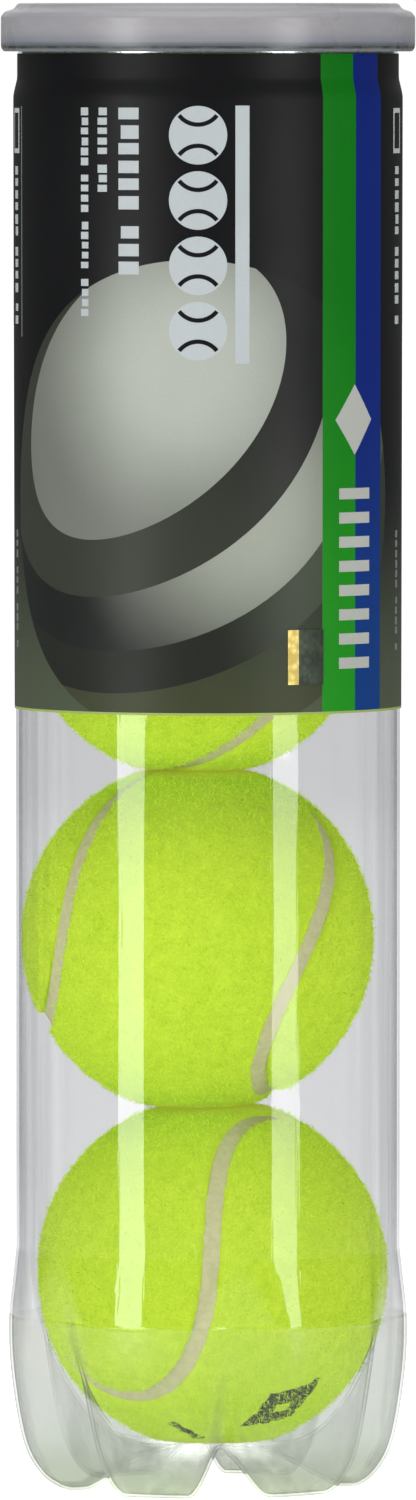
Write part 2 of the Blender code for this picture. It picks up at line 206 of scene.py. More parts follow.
# ------------------------------------------------------------ material tools
class Nodes:
    """Short calls for building a material's node tree."""

    def __init__(self, name):
        self.mat = bpy.data.materials.new(name)
        self.mat.use_nodes = True
        self.tree = self.mat.node_tree
        self.tree.nodes.clear()
        self.out = self.tree.nodes.new("ShaderNodeOutputMaterial")

    def add(self, kind, **settings):
        node = self.tree.nodes.new("ShaderNode" + kind)
        for key, value in settings.items():
            setattr(node, key, value)
        return node

    def put(self, socket, value):
        """Link or set a socket; three numbers on a colour socket get alpha 1."""
        if isinstance(value, bpy.types.NodeSocket):
            self.tree.links.new(value, socket)
        elif socket.type == "RGBA" and len(value) == 3:
            socket.default_value = (*value, 1.0)
        else:
            socket.default_value = value

    def feed(self, kind, **inputs):
        """The outputs of a node whose inputs are given by name, _ for a space."""
        node = self.add(kind)
        for key, value in inputs.items():
            self.put(node.inputs[key.replace("_", " ")], value)
        return node.outputs

    def shader(self, kind, **inputs):
        return self.feed(kind, **inputs)[0]

    def math(self, operation, a, b=0.0):
        node = self.add("Math", operation=operation)
        for socket, value in zip(node.inputs, (a, b, 0.0)):
            self.put(socket, value)
        return node.outputs[0]

    def times(self, *values):
        return reduce(lambda a, b: self.math("MULTIPLY", a, b), values)

    def plus(self, *values):
        return reduce(lambda a, b: self.math("ADD", a, b), values)

    def minus(self, a, b):
        return self.math("SUBTRACT", a, b)

    def size(self, value):
        return self.math("ABSOLUTE", value)

    def length(self, x, y):
        return self.math("SQRT", self.plus(self.times(x, x), self.times(y, y)))

    def vector(self, operation, a, b=(0.0, 0.0, 0.0)):
        node = self.add("VectorMath", operation=operation)
        self.put(node.inputs[0], a)
        self.put(node.inputs[1], b)
        return node.outputs

    def scaled(self, colour, level):
        node = self.add("VectorMath", operation="SCALE")
        self.put(node.inputs[0], colour)
        self.put(node.inputs["Scale"], level)
        return node.outputs[0]

    def mix(self, fac, a, b):
        """Colour a where fac is 0, b where it is 1."""
        node = self.add("Mix", data_type="RGBA")
        for index, value in ((0, fac), (6, a), (7, b)):
            self.put(node.inputs[index], value)
        return node.outputs[2]

    def mix_shaders(self, fac, a, b):
        node = self.add("MixShader")
        for socket, value in zip(node.inputs, (fac, a, b)):
            self.put(socket, value)
        return node.outputs[0]

    def span(self, value, at, to=(0.0, 1.0), smooth=False):
        """The value taken from the range at to the range to, clamped."""
        kind = "SMOOTHSTEP" if smooth else "LINEAR"
        node = self.add("MapRange", clamp=True, interpolation_type=kind)
        for socket, number in zip(node.inputs, (value, *at, *to)):
            self.put(socket, number)
        return node.outputs[0]

    def band(self, value, rise, fall, smooth=False):
        """1 between the ranges rise and fall, 0 outside them."""
        return self.times(self.span(value, at=rise, smooth=smooth),
                          self.span(value, at=fall, smooth=smooth))

    def coords(self):
        return self.add("TexCoord").outputs["Object"]

    def split(self, vector):
        return self.feed("SeparateXYZ", Vector=vector)

    def ray(self, output):
        return self.add("LightPath").outputs[output]

    def noise(self, vector, scale, detail=2.0, rough=0.5, stretch=None):
        if stretch:
            vector = self.feed("Mapping", Vector=vector, Scale=stretch)[0]
        return self.feed("TexNoise", Vector=vector, Scale=scale, Detail=detail,
                         Roughness=rough)["Fac"]

    def bump(self, height, strength, distance):
        return self.shader("Bump", Height=height, Strength=strength, Distance=distance)

    def done(self, shader):
        self.put(self.out.inputs["Surface"], shader)
        return self.mat


def srgb(red, green, blue):
    """An sRGB colour in 0 to 255 as linear values."""
    return tuple(((c / 255 + 0.055) / 1.055) ** 2.4 if c > 10 else c / 255 / 12.92
                 for c in (red, green, blue))


# ------------------------------------------------------------------ clear wall
# counts of transparent faces crossed: past the first, and past both, of the walls
PAST_FIRST, PAST_BOTH = 1.5, 3.5
# a small moulded ring on the lower outside of each foot, in metres and degrees
FOOT_RING_R, FOOT_RING_Z, FOOT_RING_TURN = 0.0334, 0.0043, 6.0


def foot_rings(mat, where):
    """A mask for each foot's moulded ring."""
    rings = []
    for k in range(FEET):
        angle = math.radians(FOOT_AZ + FOOT_PITCH * k + FOOT_RING_TURN)
        centre = at_azimuth(FOOT_RING_R, angle, FOOT_RING_Z)
        distance = mat.vector("DISTANCE", where, centre)["Value"]
        rings.append(mat.band(distance, rise=(0.0016, 0.0020), fall=(0.0025, 0.0021)))
    return rings


def wall_height(mat, z, ribs, speck, base, rings):
    """Relief of the wall: ribs and specks, the parting line and the foot rings."""
    rib_share, speck_share, base_calm, line_share, ring_share = 0.8, 0.25, 0.65, 2.5, 1.8
    height = mat.plus(mat.times(ribs, rib_share), mat.times(speck, speck_share))
    height = mat.times(height, mat.minus(1.0, mat.times(base, base_calm)))
    line = mat.band(z, rise=(0.0323, 0.0329), fall=(0.0335, 0.0329), smooth=True)
    height = mat.plus(height, mat.times(line, line_share))
    for ring in rings:
        height = mat.plus(height, mat.times(ring, ring_share))
    return height


def side_tint(mat, depth, graze):
    """Only the first two walls along a view darken it; folds further on barely do."""
    square_on, grazing = (0.965, 0.967, 0.97), (0.87, 0.875, 0.885)
    second_wall, further = (0.745, 0.745, 0.75), (0.985, 0.985, 0.985)
    tint = mat.mix(graze, square_on, grazing)
    tint = mat.mix(mat.math("GREATER_THAN", depth, PAST_FIRST), tint, second_wall)
    return mat.mix(mat.math("GREATER_THAN", depth, PAST_BOTH), tint, further)


def base_tint(mat, z, radius, depth, facing, graze):
    """The base darkens towards its foot and edges; its thick middle stays clear."""
    parting, lower, foot = (0.962, 0.968, 0.955), (0.925, 0.94, 0.925), (0.865, 0.885, 0.845)
    far_upper, far_foot = (0.72, 0.728, 0.715), (0.69, 0.705, 0.68)
    grazing, outline, outline_power = (0.88, 0.885, 0.88), (0.50, 0.51, 0.50), 6.0
    middle, further = (0.965, 0.970, 0.965), (0.965, 0.967, 0.965)
    first = mat.mix(mat.span(z, at=(0.0329, 0.012)), parting, lower)
    # low on the foot the tint turns faintly green: painted light from the balls
    first = mat.mix(mat.span(z, at=(0.011, 0.002), smooth=True), first, foot)
    first = mat.mix(graze, first, grazing)
    second = mat.mix(mat.span(z, at=(0.014, 0.004), smooth=True), far_upper, far_foot)
    tint = mat.mix(mat.math("GREATER_THAN", depth, PAST_FIRST), first, second)
    tint = mat.mix(mat.math("POWER", facing, outline_power), tint, outline)
    tint = mat.mix(mat.span(radius, at=(0.009, 0.015)), middle, tint)
    return mat.mix(mat.math("GREATER_THAN", depth, PAST_BOTH), tint, further)


def add_haze(mat, body, where, z, rings, rim, front, camera, normal):
    """The faint haze on the outer face, thickest low on the base."""
    side_haze, ring_haze = 0.012, 0.10
    cloud = mat.noise(where, scale=110.0, detail=3.0, rough=0.6, stretch=(1.0, 1.0, 0.45))
    # the haze's faint green cast is painted light from the balls
    colour = mat.mix(mat.span(cloud, at=(0.38, 0.62)), (0.48, 0.51, 0.46), (0.68, 0.70, 0.66))
    haze = mat.shader("BsdfDiffuse", Color=colour, Normal=normal)
    any_ring = reduce(lambda a, b: mat.math("MAXIMUM", a, b), rings, 0.0)
    patchy = mat.times(mat.span(cloud, at=(0.36, 0.64), to=(0.85, 1.15)),
                       mat.span(z, at=(0.020, 0.006), to=(0.035, 0.09), smooth=True))
    amount = mat.plus(side_haze, mat.times(any_ring, ring_haze), mat.times(rim, patchy))
    return mat.mix_shaders(mat.times(mat.times(front, camera), amount), body, haze)


def clear_pet(name, outer):
    """One side of the clear wall. Each wall is crossed at an outer and an inner
    face; the wall behind the contents is the one that greys the view."""
    mat = Nodes(name)
    where = mat.coords()
    x, y, z = mat.split(where)
    camera = mat.ray("Is Camera Ray")
    front = mat.minus(1.0, mat.add("NewGeometry").outputs["Backfacing"])
    # stretched vertically: slight upright ribs in the wall
    ribs = mat.noise(where, scale=300.0, detail=3.0, rough=0.6, stretch=(1.0, 1.0, 0.02))
    speck = mat.noise(where, scale=90.0, detail=3.0, rough=0.6)
    # below the mould's parting line the wall is hazier
    base = mat.span(z, at=(0.0334, 0.0329))
    rings = foot_rings(mat, where)
    height = wall_height(mat, z, ribs, speck, base, rings)
    normal = mat.bump(height, strength=0.35, distance=0.00022)
    facing = mat.feed("LayerWeight", Blend=0.5, Normal=normal)["Facing"]
    graze_power = 2.5
    graze = mat.math("POWER", facing, graze_power)
    streak = mat.plus(1.0, mat.times(mat.span(ribs, at=(0.35, 0.65), to=(-0.07, 0.07)),
                                     mat.span(graze, at=(0.02, 0.25))))
    depth = mat.ray("Transparent Depth")
    radius = mat.length(x, y)
    tint = mat.mix(base, side_tint(mat, depth, graze),
                   base_tint(mat, z, radius, depth, facing, graze))
    light_tint = (0.975, 0.975, 0.975)     # for every ray but the camera's
    tint = mat.mix(camera, light_tint, mat.scaled(tint, streak))
    clear = mat.shader("BsdfTransparent", Color=tint)

    side_rough = 0.03
    base_rough = mat.span(z, at=(0.010, 0.020), to=(0.15, 0.29))
    gloss = mat.shader("BsdfGlossy", Normal=normal,
                       Roughness=mat.plus(side_rough, mat.times(base, base_rough)))
    fresnel = mat.shader("Fresnel", IOR=1.57, Normal=normal)
    # share of the reflection kept on the side wall and on the base
    if outer:
        kept = (1.0, mat.span(z, at=(0.012, 0.030), to=(0.45, 1.1), smooth=True))
    else:
        kept = (0.5, 0.25)
    shine = mat.times(fresnel, front, mat.span(base, at=(0.0, 1.0), to=kept))
    most = mat.span(base, at=(0.0, 1.0), to=(0.45, 0.13))
    wall = mat.mix_shaders(mat.math("MINIMUM", shine, most), clear, gloss)
    if outer:
        rim = mat.times(base, mat.span(radius, at=(0.022, 0.028)))
        wall = add_haze(mat, wall, where, z, rings, rim, front, camera, normal)
    return mat.done(wall)


# ------------------------------------------------------------------ printed ink
def print_ink(name, start, end=None, span=(150.0, 275.0), direction=(0.0, 1.0),
              centre=None, grain=0.05):
    """Printed ink with fine grain: a colour, or a graded pair along a direction over
    the sleeve (or outward from a centre), in millimetres of arc and height."""
    uv_mm = 100.0          # millimetres to one unit of the UV map
    soft_share, relief_share = 0.03, 0.15
    mat = Nodes("ink_" + name)
    where = mat.coords()
    fine = mat.noise(where, scale=5200.0, rough=0.6)
    soft = mat.noise(where, scale=55.0)
    if end is None:
        colour = mat.mix(0.0, start, start)
    else:
        u, v, _ = mat.split(mat.add("UVMap", uv_map="art").outputs[0])
        if centre:
            along = mat.length(mat.minus(mat.times(u, uv_mm), centre[0]),
                               mat.minus(mat.times(v, uv_mm), centre[1]))
        else:
            along = mat.plus(mat.times(u, direction[0] * uv_mm),
                             mat.times(v, direction[1] * uv_mm))
        colour = mat.mix(mat.span(along, at=span, smooth=True), start, end)
    level = mat.plus(mat.span(fine, at=(0.3, 0.7), to=(1.0 - grain, 1.0 + grain)),
                     mat.span(soft, at=(0.3, 0.7), to=(-soft_share, soft_share)))
    wave = mat.noise(where, scale=22.0, detail=1.0)
    height = mat.plus(mat.times(fine, relief_share), wave)
    return mat.done(mat.shader(
        "BsdfPrincipled", Base_Color=mat.scaled(colour, level),
        Roughness=mat.span(soft, at=(0.3, 0.7), to=(0.42, 0.50)),
        Normal=mat.bump(height, strength=0.15, distance=0.0006), Specular_IOR_Level=0.18))


# ------------------------------------------------------------------------ felt
# the stamp faces out, down and to the right of the lowest ball's front
STAMP_OUT = Vector((13.3, -19.0, -24.2)).normalized()
STAMP_CENTRE = STAMP_OUT * 33.5 + Vector((BALLS[0][0], 0.0, FIRST_BALL_Z))
_side = Vector((0.80, 0.0, 0.60))
STAMP_SIDE = (_side - STAMP_OUT * _side.dot(STAMP_OUT)).normalized()
STAMP_UP = STAMP_OUT.cross(STAMP_SIDE)


def stamp_mask(mat, where, clump, fibre):
    """An open diamond, and a short slanted dash to its lower left."""
    diamond_slope = 0.62
    dash_side, dash_up = -0.0183, 0.0012           # the dash's middle
    dash_sin, dash_cos = 0.358, 0.934              # its slant

    def along(axis):
        offset = mat.vector("SUBTRACT", where, STAMP_CENTRE * MM)[0]
        return mat.vector("DOT_PRODUCT", offset, axis)["Value"]

    side, up = along(STAMP_SIDE), along(STAMP_UP)
    out = along(STAMP_SIDE.cross(STAMP_UP).normalized())
    wobble = mat.span(clump, at=(0.3, 0.7), to=(-0.00045, 0.00045))
    diamond = mat.plus(mat.times(mat.size(side), diamond_slope),
                       mat.plus(mat.size(up), wobble))
    diamond = mat.times(mat.band(diamond, rise=(0.0013, 0.0016), fall=(0.0057, 0.0054)),
                        mat.span(mat.size(out), at=(0.010, 0.009)))
    side, up = mat.plus(side, -dash_side), mat.minus(up, dash_up)
    length = mat.size(mat.minus(mat.times(side, dash_sin), mat.times(up, dash_cos)))
    width = mat.size(mat.plus(mat.times(side, dash_cos), mat.times(up, dash_sin)))
    dash = mat.times(mat.span(length, at=(0.0042, 0.0039)),
                     mat.span(mat.plus(width, wobble), at=(0.0009, 0.0006)),
                     mat.span(mat.size(out), at=(0.016, 0.015)))
    return mat.times(mat.math("MAXIMUM", diamond, dash),
                     mat.span(fibre, at=(0.32, 0.45), to=(0.7, 1.0)))


def felt(name, stamped=False, loose=False):
    """Matted nap, with a black stamp if stamped; painted shade and a painted glow where balls
    press.
    loose is for single fibres, which glow a little (painted light) so they never look dark."""
    contact_reach, contact_shade_share, stamp_share = 1.6, 0.6, 0.96
    contact_glow, loose_glow = 0.30, 0.32
    clump_relief, fibre_relief, twist_relief = 0.6, 0.3, 0.4
    shade, light, broad_tone = (0.505, 0.715, 0.029), (0.64, 0.85, 0.048), (0.50, 0.74, 0.022)
    contact_shade, black = (0.34, 0.36, 0.02), (0.016, 0.020, 0.018)
    glow, contact_glow_tone = (0.50, 0.72, 0.02), (0.55, 0.60, 0.03)
    mat = Nodes(name)
    where = mat.coords()
    clump = mat.noise(where, scale=420.0, detail=4.0, rough=0.65)
    fibre = mat.noise(where, scale=1500.0, detail=3.0, rough=0.7)
    twist = mat.noise(where, scale=900.0, rough=0.6, stretch=(1.0, 0.35, 1.6))
    broad = mat.noise(where, scale=45.0)
    tone = mat.plus(mat.times(clump, 0.5), mat.times(fibre, 0.5))
    colour = mat.mix(mat.span(tone, at=(0.38, 0.62)), shade, light)
    colour = mat.mix(mat.span(broad, at=(0.35, 0.65), to=(0.0, 0.35)), colour, broad_tone)
    # painted shade where neighbouring balls press together, ragged with the clumps
    z = mat.split(where)[2]
    level = mat.math("DIVIDE", mat.minus(z, CONTACT_Z * MM), BALL_PITCH * MM)
    gap = mat.size(mat.minus(mat.math("FRACT", mat.plus(level, 0.5)), 0.5))
    near = mat.span(gap, at=(0.0, contact_reach / BALL_PITCH), to=(1.0, 0.0), smooth=True)
    ragged_shade = mat.times(near, mat.span(clump, at=(0.35, 0.65), to=(0.6, 1.0)))
    colour = mat.mix(mat.times(ragged_shade, contact_shade_share), colour, contact_shade)
    if stamped:
        ink = stamp_mask(mat, where, clump, fibre)
        colour = mat.mix(mat.times(ink, stamp_share), colour, black)
    height = mat.plus(mat.times(clump, clump_relief),
                      mat.plus(mat.times(fibre, fibre_relief), mat.times(twist, twist_relief)))
    return mat.done(mat.shader(
        "BsdfPrincipled", Base_Color=colour, Roughness=0.95, Specular_IOR_Level=0.08,
        Normal=mat.bump(height, strength=0.5, distance=0.0006),
        Sheen_Weight=0.10, Sheen_Roughness=0.45, Sheen_Tint=(0.80, 1.0, 0.25),
        # painted glow: emission that lifts the pressed faces, and the loose fibres all over
        Emission_Color=mat.mix(near, glow, contact_glow_tone),
        Emission_Strength=loose_glow if loose else mat.times(near, contact_glow)))


# -------------------------------------------------------------- other materials
def rubber(name, colour, dark, scale=700.0):
    mat = Nodes(name)
    where = mat.coords()
    grain = mat.noise(where, scale, detail=4.0, rough=0.6)
    soft = mat.noise(where, scale=80.0)
    return mat.done(mat.shader(
        "BsdfPrincipled", Base_Color=mat.mix(mat.span(grain, at=(0.35, 0.65)), dark, colour),
        Roughness=mat.span(soft, at=(0.3, 0.7), to=(0.6, 0.8)),
        Normal=mat.bump(grain, strength=0.4, distance=0.0002), Specular_IOR_Level=0.25))


def aluminium(name):
    """Rolled metal, its grain drawn out along Y."""
    dull, bright = (0.72, 0.73, 0.75), (0.82, 0.83, 0.85)
    mat = Nodes(name)
    where = mat.coords()
    roll = mat.noise(where, scale=1400.0, rough=0.6, stretch=(1.0, 0.03, 1.0))
    blot = mat.noise(where, scale=60.0, detail=3.0, rough=0.6)
    return mat.done(mat.shader(
        "BsdfPrincipled", Base_Color=mat.mix(mat.span(blot, at=(0.3, 0.7)), dull, bright),
        Metallic=1.0, Roughness=mat.plus(mat.span(roll, at=(0.3, 0.7), to=(0.14, 0.26)),
                                         mat.span(blot, at=(0.3, 0.7), to=(0.0, 0.08))),
        Normal=mat.bump(roll, strength=0.12, distance=0.00006)))


def cap_colour(mat, x, z, outer, haze, streaks):
    """The overcap's colour, by height and by facing, with painted shade at the sides and
    painted light on the top, the raised ring and the seam band.
    """
    side_shade_share, seam_highlight_share, step_share = 0.8, 0.6, 0.12
    # painted shade: the skirt turns darker and bluer towards its sides
    sides = mat.span(mat.size(x), at=(0.010, 0.038), smooth=True)
    base = mat.mix(mat.span(haze, at=(0.3, 0.7)), (0.335, 0.34, 0.36), (0.40, 0.395, 0.405))
    base = mat.mix(mat.times(sides, side_shade_share), base, (0.28, 0.30, 0.345))
    # a paler band where the metal seam lies behind the skirt: the seam showing through, with a
    # painted highlight over it
    seam = mat.band(z, rise=(0.2775, 0.2788), fall=(0.2825, 0.2815), smooth=True)
    base = mat.mix(mat.times(seam, seam_highlight_share), base, (0.48, 0.45, 0.46))
    base = mat.mix(mat.span(streaks, at=(0.35, 0.65), to=(0.0, 0.25)), base,
                   (0.30, 0.31, 0.34))
    # painted light: the raised ring is painted paler than the rest, and less so at the sides
    thick = mat.times(mat.span(z, at=(0.2816, 0.2824), smooth=True),
                      mat.span(z, at=(0.2846, 0.2839)))
    ring_painted_light = mat.mix(sides, (0.64, 0.62, 0.64), (0.50, 0.50, 0.54))
    base = mat.mix(mat.times(outer, thick), base, ring_painted_light)
    # the lower skirt is bluer, and the lip under the seam is dark
    base = mat.mix(mat.span(z, at=(0.2800, 0.2774), to=(0.0, 0.55), smooth=True), base,
                   (0.27, 0.29, 0.33))
    base = mat.mix(mat.span(z, at=(0.2776, 0.2766), to=(0.0, 0.9), smooth=True), base,
                   (0.125, 0.14, 0.15))
    lip = mat.band(z, rise=(0.2766, 0.2763), fall=(0.2758, 0.2761), smooth=True)
    broken = mat.span(streaks, at=(0.35, 0.60), to=(0.35, 1.0))
    base = mat.mix(mat.times(lip, broken), base, (0.035, 0.04, 0.045))
    # painted light: the flat top is painted paler, as if lit from above
    up = mat.split(mat.add("NewGeometry").outputs["Normal"])[2]
    top = mat.mix(mat.span(haze, at=(0.3, 0.7)), (0.74, 0.745, 0.77), (0.82, 0.82, 0.83))
    base = mat.mix(mat.span(up, at=(0.6, 0.95)), base, top)
    step = mat.band(z, rise=(0.2815, 0.2821), fall=(0.2832, 0.2825), smooth=True)
    return mat.mix(mat.times(step, step_share), base, (0.24, 0.25, 0.28))


def cap_plastic():
    grain_relief = 0.3
    mat = Nodes("cap_polyethylene")
    where = mat.coords()
    x, y, z = mat.split(where)
    haze = mat.noise(where, scale=35.0, detail=3.0, rough=0.55)
    grain = mat.noise(where, scale=900.0)
    streaks = mat.noise(where, scale=260.0, detail=3.0, rough=0.6, stretch=(1.0, 1.0, 3.5))
    outer = mat.span(mat.length(x, y), at=(0.0290, 0.0310))
    height = mat.plus(mat.times(grain, grain_relief), haze)
    plastic = mat.shader(
        "BsdfPrincipled", Base_Color=cap_colour(mat, x, z, outer, haze, streaks),
        Roughness=mat.span(haze, at=(0.3, 0.7), to=(0.24, 0.34)),
        Normal=mat.bump(height, strength=0.12, distance=0.0005),
        Subsurface_Weight=0.3, Subsurface_Scale=0.002, Subsurface_Radius=(1.0, 1.0, 1.0))
    clear = mat.shader("BsdfTransparent", Color=(0.86, 0.86, 0.88))
    # thin enough over the middle to show the metal end through it
    cover = mat.span(outer, at=(0.0, 1.0), to=(0.55, 0.80))
    return mat.done(mat.mix_shaders(cover, clear, plastic))


def foil(name, colour, dark, mottled):
    """Foil with a fine cell pattern; mottled adds green patches."""
    mat = Nodes(name)
    where = mat.coords()
    cell = mat.feed("TexVoronoi", Vector=where, Scale=900.0)["Distance"]
    tone = mat.mix(mat.span(cell, at=(0.1, 0.7)), colour, dark)
    if mottled:
        shift = mat.noise(where, scale=300.0, rough=0.6)
        tone = mat.mix(mat.span(shift, at=(0.35, 0.65), to=(0.0, 0.7)), tone,
                       (0.045, 0.065, 0.035))
    return mat.done(mat.shader(
        "BsdfPrincipled", Base_Color=tone, Metallic=0.35,
        Roughness=mat.span(cell, at=(0.0, 0.8), to=(0.32, 0.5)),
        Normal=mat.bump(cell, strength=0.25, distance=0.0001)))


PET_OUT = clear_pet("clear_pet", outer=True)
PET_IN = clear_pet("clear_pet_inside", outer=False)
ALU = aluminium("aluminium_end")
ALU_TAB = aluminium("aluminium_tab")
CAP = cap_plastic()
FELT = felt("felt_nap")
FELT_STAMPED = felt("felt_nap_stamped", stamped=True)
FELT_LOOSE = felt("felt_fibres", loose=True)
SEAM = rubber("seam_rubber", colour=(0.60, 0.59, 0.33), dark=(0.52, 0.51, 0.275))
CORE = rubber("core_rubber", colour=(0.055, 0.05, 0.048), dark=(0.03, 0.028, 0.026),
              scale=300.0)
COMPOUND = rubber("seam_compound", colour=(0.30, 0.29, 0.28), dark=(0.22, 0.21, 0.20))

# ------------------------------------------------------------------- can body
# outer wall, (radius, height) downwards: the rim and neck, the shoulder, the side
WALL_TOP = [(37.5, 279.9), (36.75, 279.65), (36.35, 279.25), (NECK_R, 278.6), *SHOULDER,
            (BODY_R, SLEEVE_Z0), (BODY_R, 120.0), (BODY_R, 90.0), (BODY_R, 60.0),
            (BODY_R, 46.2)]
# below it, through the middle of a foot and between two feet, point for point
FOOT = [(BODY_R, 46.0), (37.5, 40.0), (38.2, 33.0), (38.0, 24.0), (36.5, 13.0),
        (34.7, 6.5), (31.9, 2.2), (29.2, 0.25), (28.4, 0.0), (25.0, 0.0),
        (21.4, 1.6), (15.0, 5.0), (8.0, 7.3), (4.0, 7.65), (0.0, 7.7)]
VALLEY = [(BODY_R, 46.0), (36.75, 40.5), (36.1, 35.0), (34.8, 30.0), (32.4, 24.5),
          (29.6, 19.4), (26.8, 15.4), (25.2, 13.6), (24.0, 12.3), (21.2, 10.2),
          (18.4, 9.0), (13.0, 8.2), (7.0, 7.72), (3.5, 7.7), (0.0, 7.7)]


def body_grid(columns, low_rows):
    """Outer points by azimuth and station, the last station on the axis."""
    grid = []
    for k in range(columns):
        azimuth = FOOT_AZ + 360.0 * k / columns
        off = abs((azimuth - FOOT_AZ + FOOT_PITCH / 2) % FOOT_PITCH - FOOT_PITCH / 2)
        t = min(max((off - FOOT_FLAT) / (FOOT_END - FOOT_FLAT), 0.0), 1.0)
        foot_share = 1.0 - t * t * (3.0 - 2.0 * t)
        low = spline(foot_share * np.array(FOOT) + (1.0 - foot_share) * np.array(VALLEY),
                     low_rows)
        low[:, 1] = np.maximum(low[:, 1], 0.0)
        radius, z = np.vstack([np.array(WALL_TOP), low]).T
        grid.append(np.stack(at_azimuth(radius, math.radians(azimuth), z), 1))
    return np.array(grid)


def build_body():
    columns, low_rows = ((288, 96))
    grid = body_grid(columns, low_rows)
    rows = grid.shape[1]
    outer = grid[:, :-1].reshape(-1, 3)
    pole = len(outer)
    outer = np.vstack([outer, grid[0, -1]])

    def index(k, row):
        return pole if row == rows - 1 else (k % columns) * (rows - 1) + row

    faces = [without_repeats([index(k, j), index(k, j + 1), index(k + 1, j + 1),
                              index(k + 1, j)])
             for k in range(columns) for j in range(rows - 1)]
    inner = outer - vertex_normals(outer, faces) * WALL
    count = len(outer)
    inside = [[v + count for v in reversed(face)] for face in faces]
    rim = []
    for k in range(columns):
        a, b = index(k, 0), index(k + 1, 0)
        rim.append([a, b, b + count, a + count])
    sides = [0] * len(faces) + [1] * len(faces) + [0] * columns
    piece("pet_body", np.vstack([outer, inner]) * MM, faces + inside + rim,
          [PET_OUT, PET_IN], "can", "can_body", face_mats=sides)


# -------------------------------------------------------------- aluminium end
TAB_NOSE_Y = 31.6
RIVET_Y = TAB_NOSE_Y - 7.6
TAB_Z = 278.6
# (radius, height) profiles
SHELL = [(37.7, 281.6), (38.1, 281.2), (38.1, 278.8), (37.8, 278.4), (36.75, 278.4),
         (36.75, 278.7), (37.8, 279.0), (37.8, 281.3), (35.6, 281.3), (35.6, 275.0),
         (34.3, 275.0), (34.3, 277.1), (33.9, 277.1), (33.9, 277.4), (34.6, 277.4),
         (34.6, 275.3), (35.3, 275.3), (35.3, 281.3), (35.6, 281.6)]
GASKET = [(37.4, 281.1), (37.4, 280.8), (36.6, 280.8), (36.6, 281.1)]
PANEL = [(0.0, 276.4), (14.0, 276.4), (14.6, 276.2), (16.0, 276.2), (16.6, 276.4),
         (28.6, 276.4), (30.2, 276.45), (31.2, 277.4), (32.9, 277.4), (33.0, 277.25),
         (33.1, 277.4), (33.8, 277.4), (33.8, 277.1), (31.4, 277.1), (30.4, 276.1),
         (16.8, 276.1), (16.2, 275.9), (14.4, 275.9), (13.8, 276.1), (0.0, 276.1)]
RIVET = [(0.0, 279.15), (1.9, 279.2), (2.6, 278.95), (2.5, 278.7), (1.5, 278.7),
         (1.5, 277.3), (3.3, 277.3), (4.2, 276.35), (4.2, 276.2), (0.0, 276.2)]


def build_end():
    turned("end_shell", SHELL, 0.25, ALU, "can", "end_ring")
    turned("end_compound", GASKET, 0.1, COMPOUND, "can", "seam_gasket",
           count=96)
    turned("end_panel", PANEL, 0.3, ALU, "panel", "tear_panel", closed=False)
    turned("end_rivet", RIVET, 0.25, ALU, "panel", None, closed=False,
           count=48, centre_y=RIVET_Y)


# ------------------------------------------------------------------- pull tab
def hull(back_x, back_r, front_x, front_r, count=28):
    """The outline round two circles; x runs back from the nose, y across."""
    beta = math.acos((front_r - back_r) / (back_x - front_x))
    back = [-beta + 2 * beta * k / count for k in range(count + 1)]
    front = [beta + (2 * math.pi - 2 * beta) * k / count for k in range(count + 1)]
    return [(x + r * math.cos(a), r * math.sin(a))
            for x, r, arc_angles in ((back_x, back_r, back), (front_x, front_r, front))
            for a in arc_angles]


def tab_sheet(name, outlines, thickness, z, body, node, bevel):
    """A bevelled plate; the first outline is its edge, the others are holes."""
    curve = bpy.data.curves.new(name + "_outline", "CURVE")
    curve.dimensions = "2D"
    curve.fill_mode = "BOTH"
    curve.extrude = max(thickness / 2 - bevel, 0.02) * MM
    curve.bevel_depth = bevel * MM
    curve.offset = -bevel * MM
    curve.bevel_resolution = 3
    for outline in outlines:
        loop = curve.splines.new("POLY")
        loop.points.add(len(outline) - 1)
        for point, (x, y) in zip(loop.points, outline):
            point.co = (-y * MM, x * MM, 0.0, 1.0)
        loop.use_cyclic_u = True
    source = bpy.data.objects.new(name + "_outline", curve)
    bpy.context.scene.collection.objects.link(source)
    bpy.context.view_layer.update()
    depsgraph = bpy.context.evaluated_depsgraph_get()
    mesh = bpy.data.meshes.new_from_object(source.evaluated_get(depsgraph))
    bpy.data.objects.remove(source, do_unlink=True)
    verts = np.zeros(len(mesh.vertices) * 3)
    mesh.vertices.foreach_get("co", verts)
    verts = verts.reshape(-1, 3) + np.array([0.0, TAB_NOSE_Y, z]) * MM
    faces = [tuple(p.vertices) for p in mesh.polygons]
    bpy.data.meshes.remove(mesh)
    obj = piece(name, verts, faces, [ALU_TAB], body, node)
    weld = obj.modifiers.new("Weld", "WELD")
    weld.merge_threshold = 0.00001
    obj.data.set_sharp_from_angle(angle=math.radians(40))


def build_tab_nose():
    """The rolled nose: a bar across X with rounded ends."""
    radius, sides = 0.8, 24
    stations = [(-4.6, 0.35), (-4.45, 0.75), (-4.2, 1.0),     # x, share of the radius
                (4.2, 1.0), (4.45, 0.75), (4.6, 0.35)]
    verts = [(x * MM, y * MM, z * MM) for x, share in stations
             for y, z in circle(TAB_NOSE_Y, TAB_Z, radius * share, sides)]
    faces = []
    for row in range(0, (len(stations) - 1) * sides, sides):
        for k in range(sides):
            after = (k + 1) % sides
            faces.append((row + sides + k, row + sides + after, row + after, row + k))
    faces.append(tuple(range(sides)))
    faces.append(tuple(reversed(range(len(verts) - sides, len(verts)))))
    piece("tab_nose", verts, faces, [ALU_TAB], "tab", None)


def build_tab():
    tab_sheet("tab_plate",
              [hull(-5.0, 5.6, -18.5, 8.5), hull(-5.3, 2.7, -7.3, 3.9),
               circle(-18.9, 0.0, 5.2, 40)],
              thickness=1.1, z=TAB_Z, body="tab", node="pull_tab", bevel=0.4)
    tab_sheet("tab_tongue",
              [hull(-4.6, 1.3, -7.6, 3.1, 16), circle(-7.6, 0.0, 1.85, 24)],
              thickness=0.8, z=278.0, body="panel", node="tab_island", bevel=0.15)
    build_tab_nose()


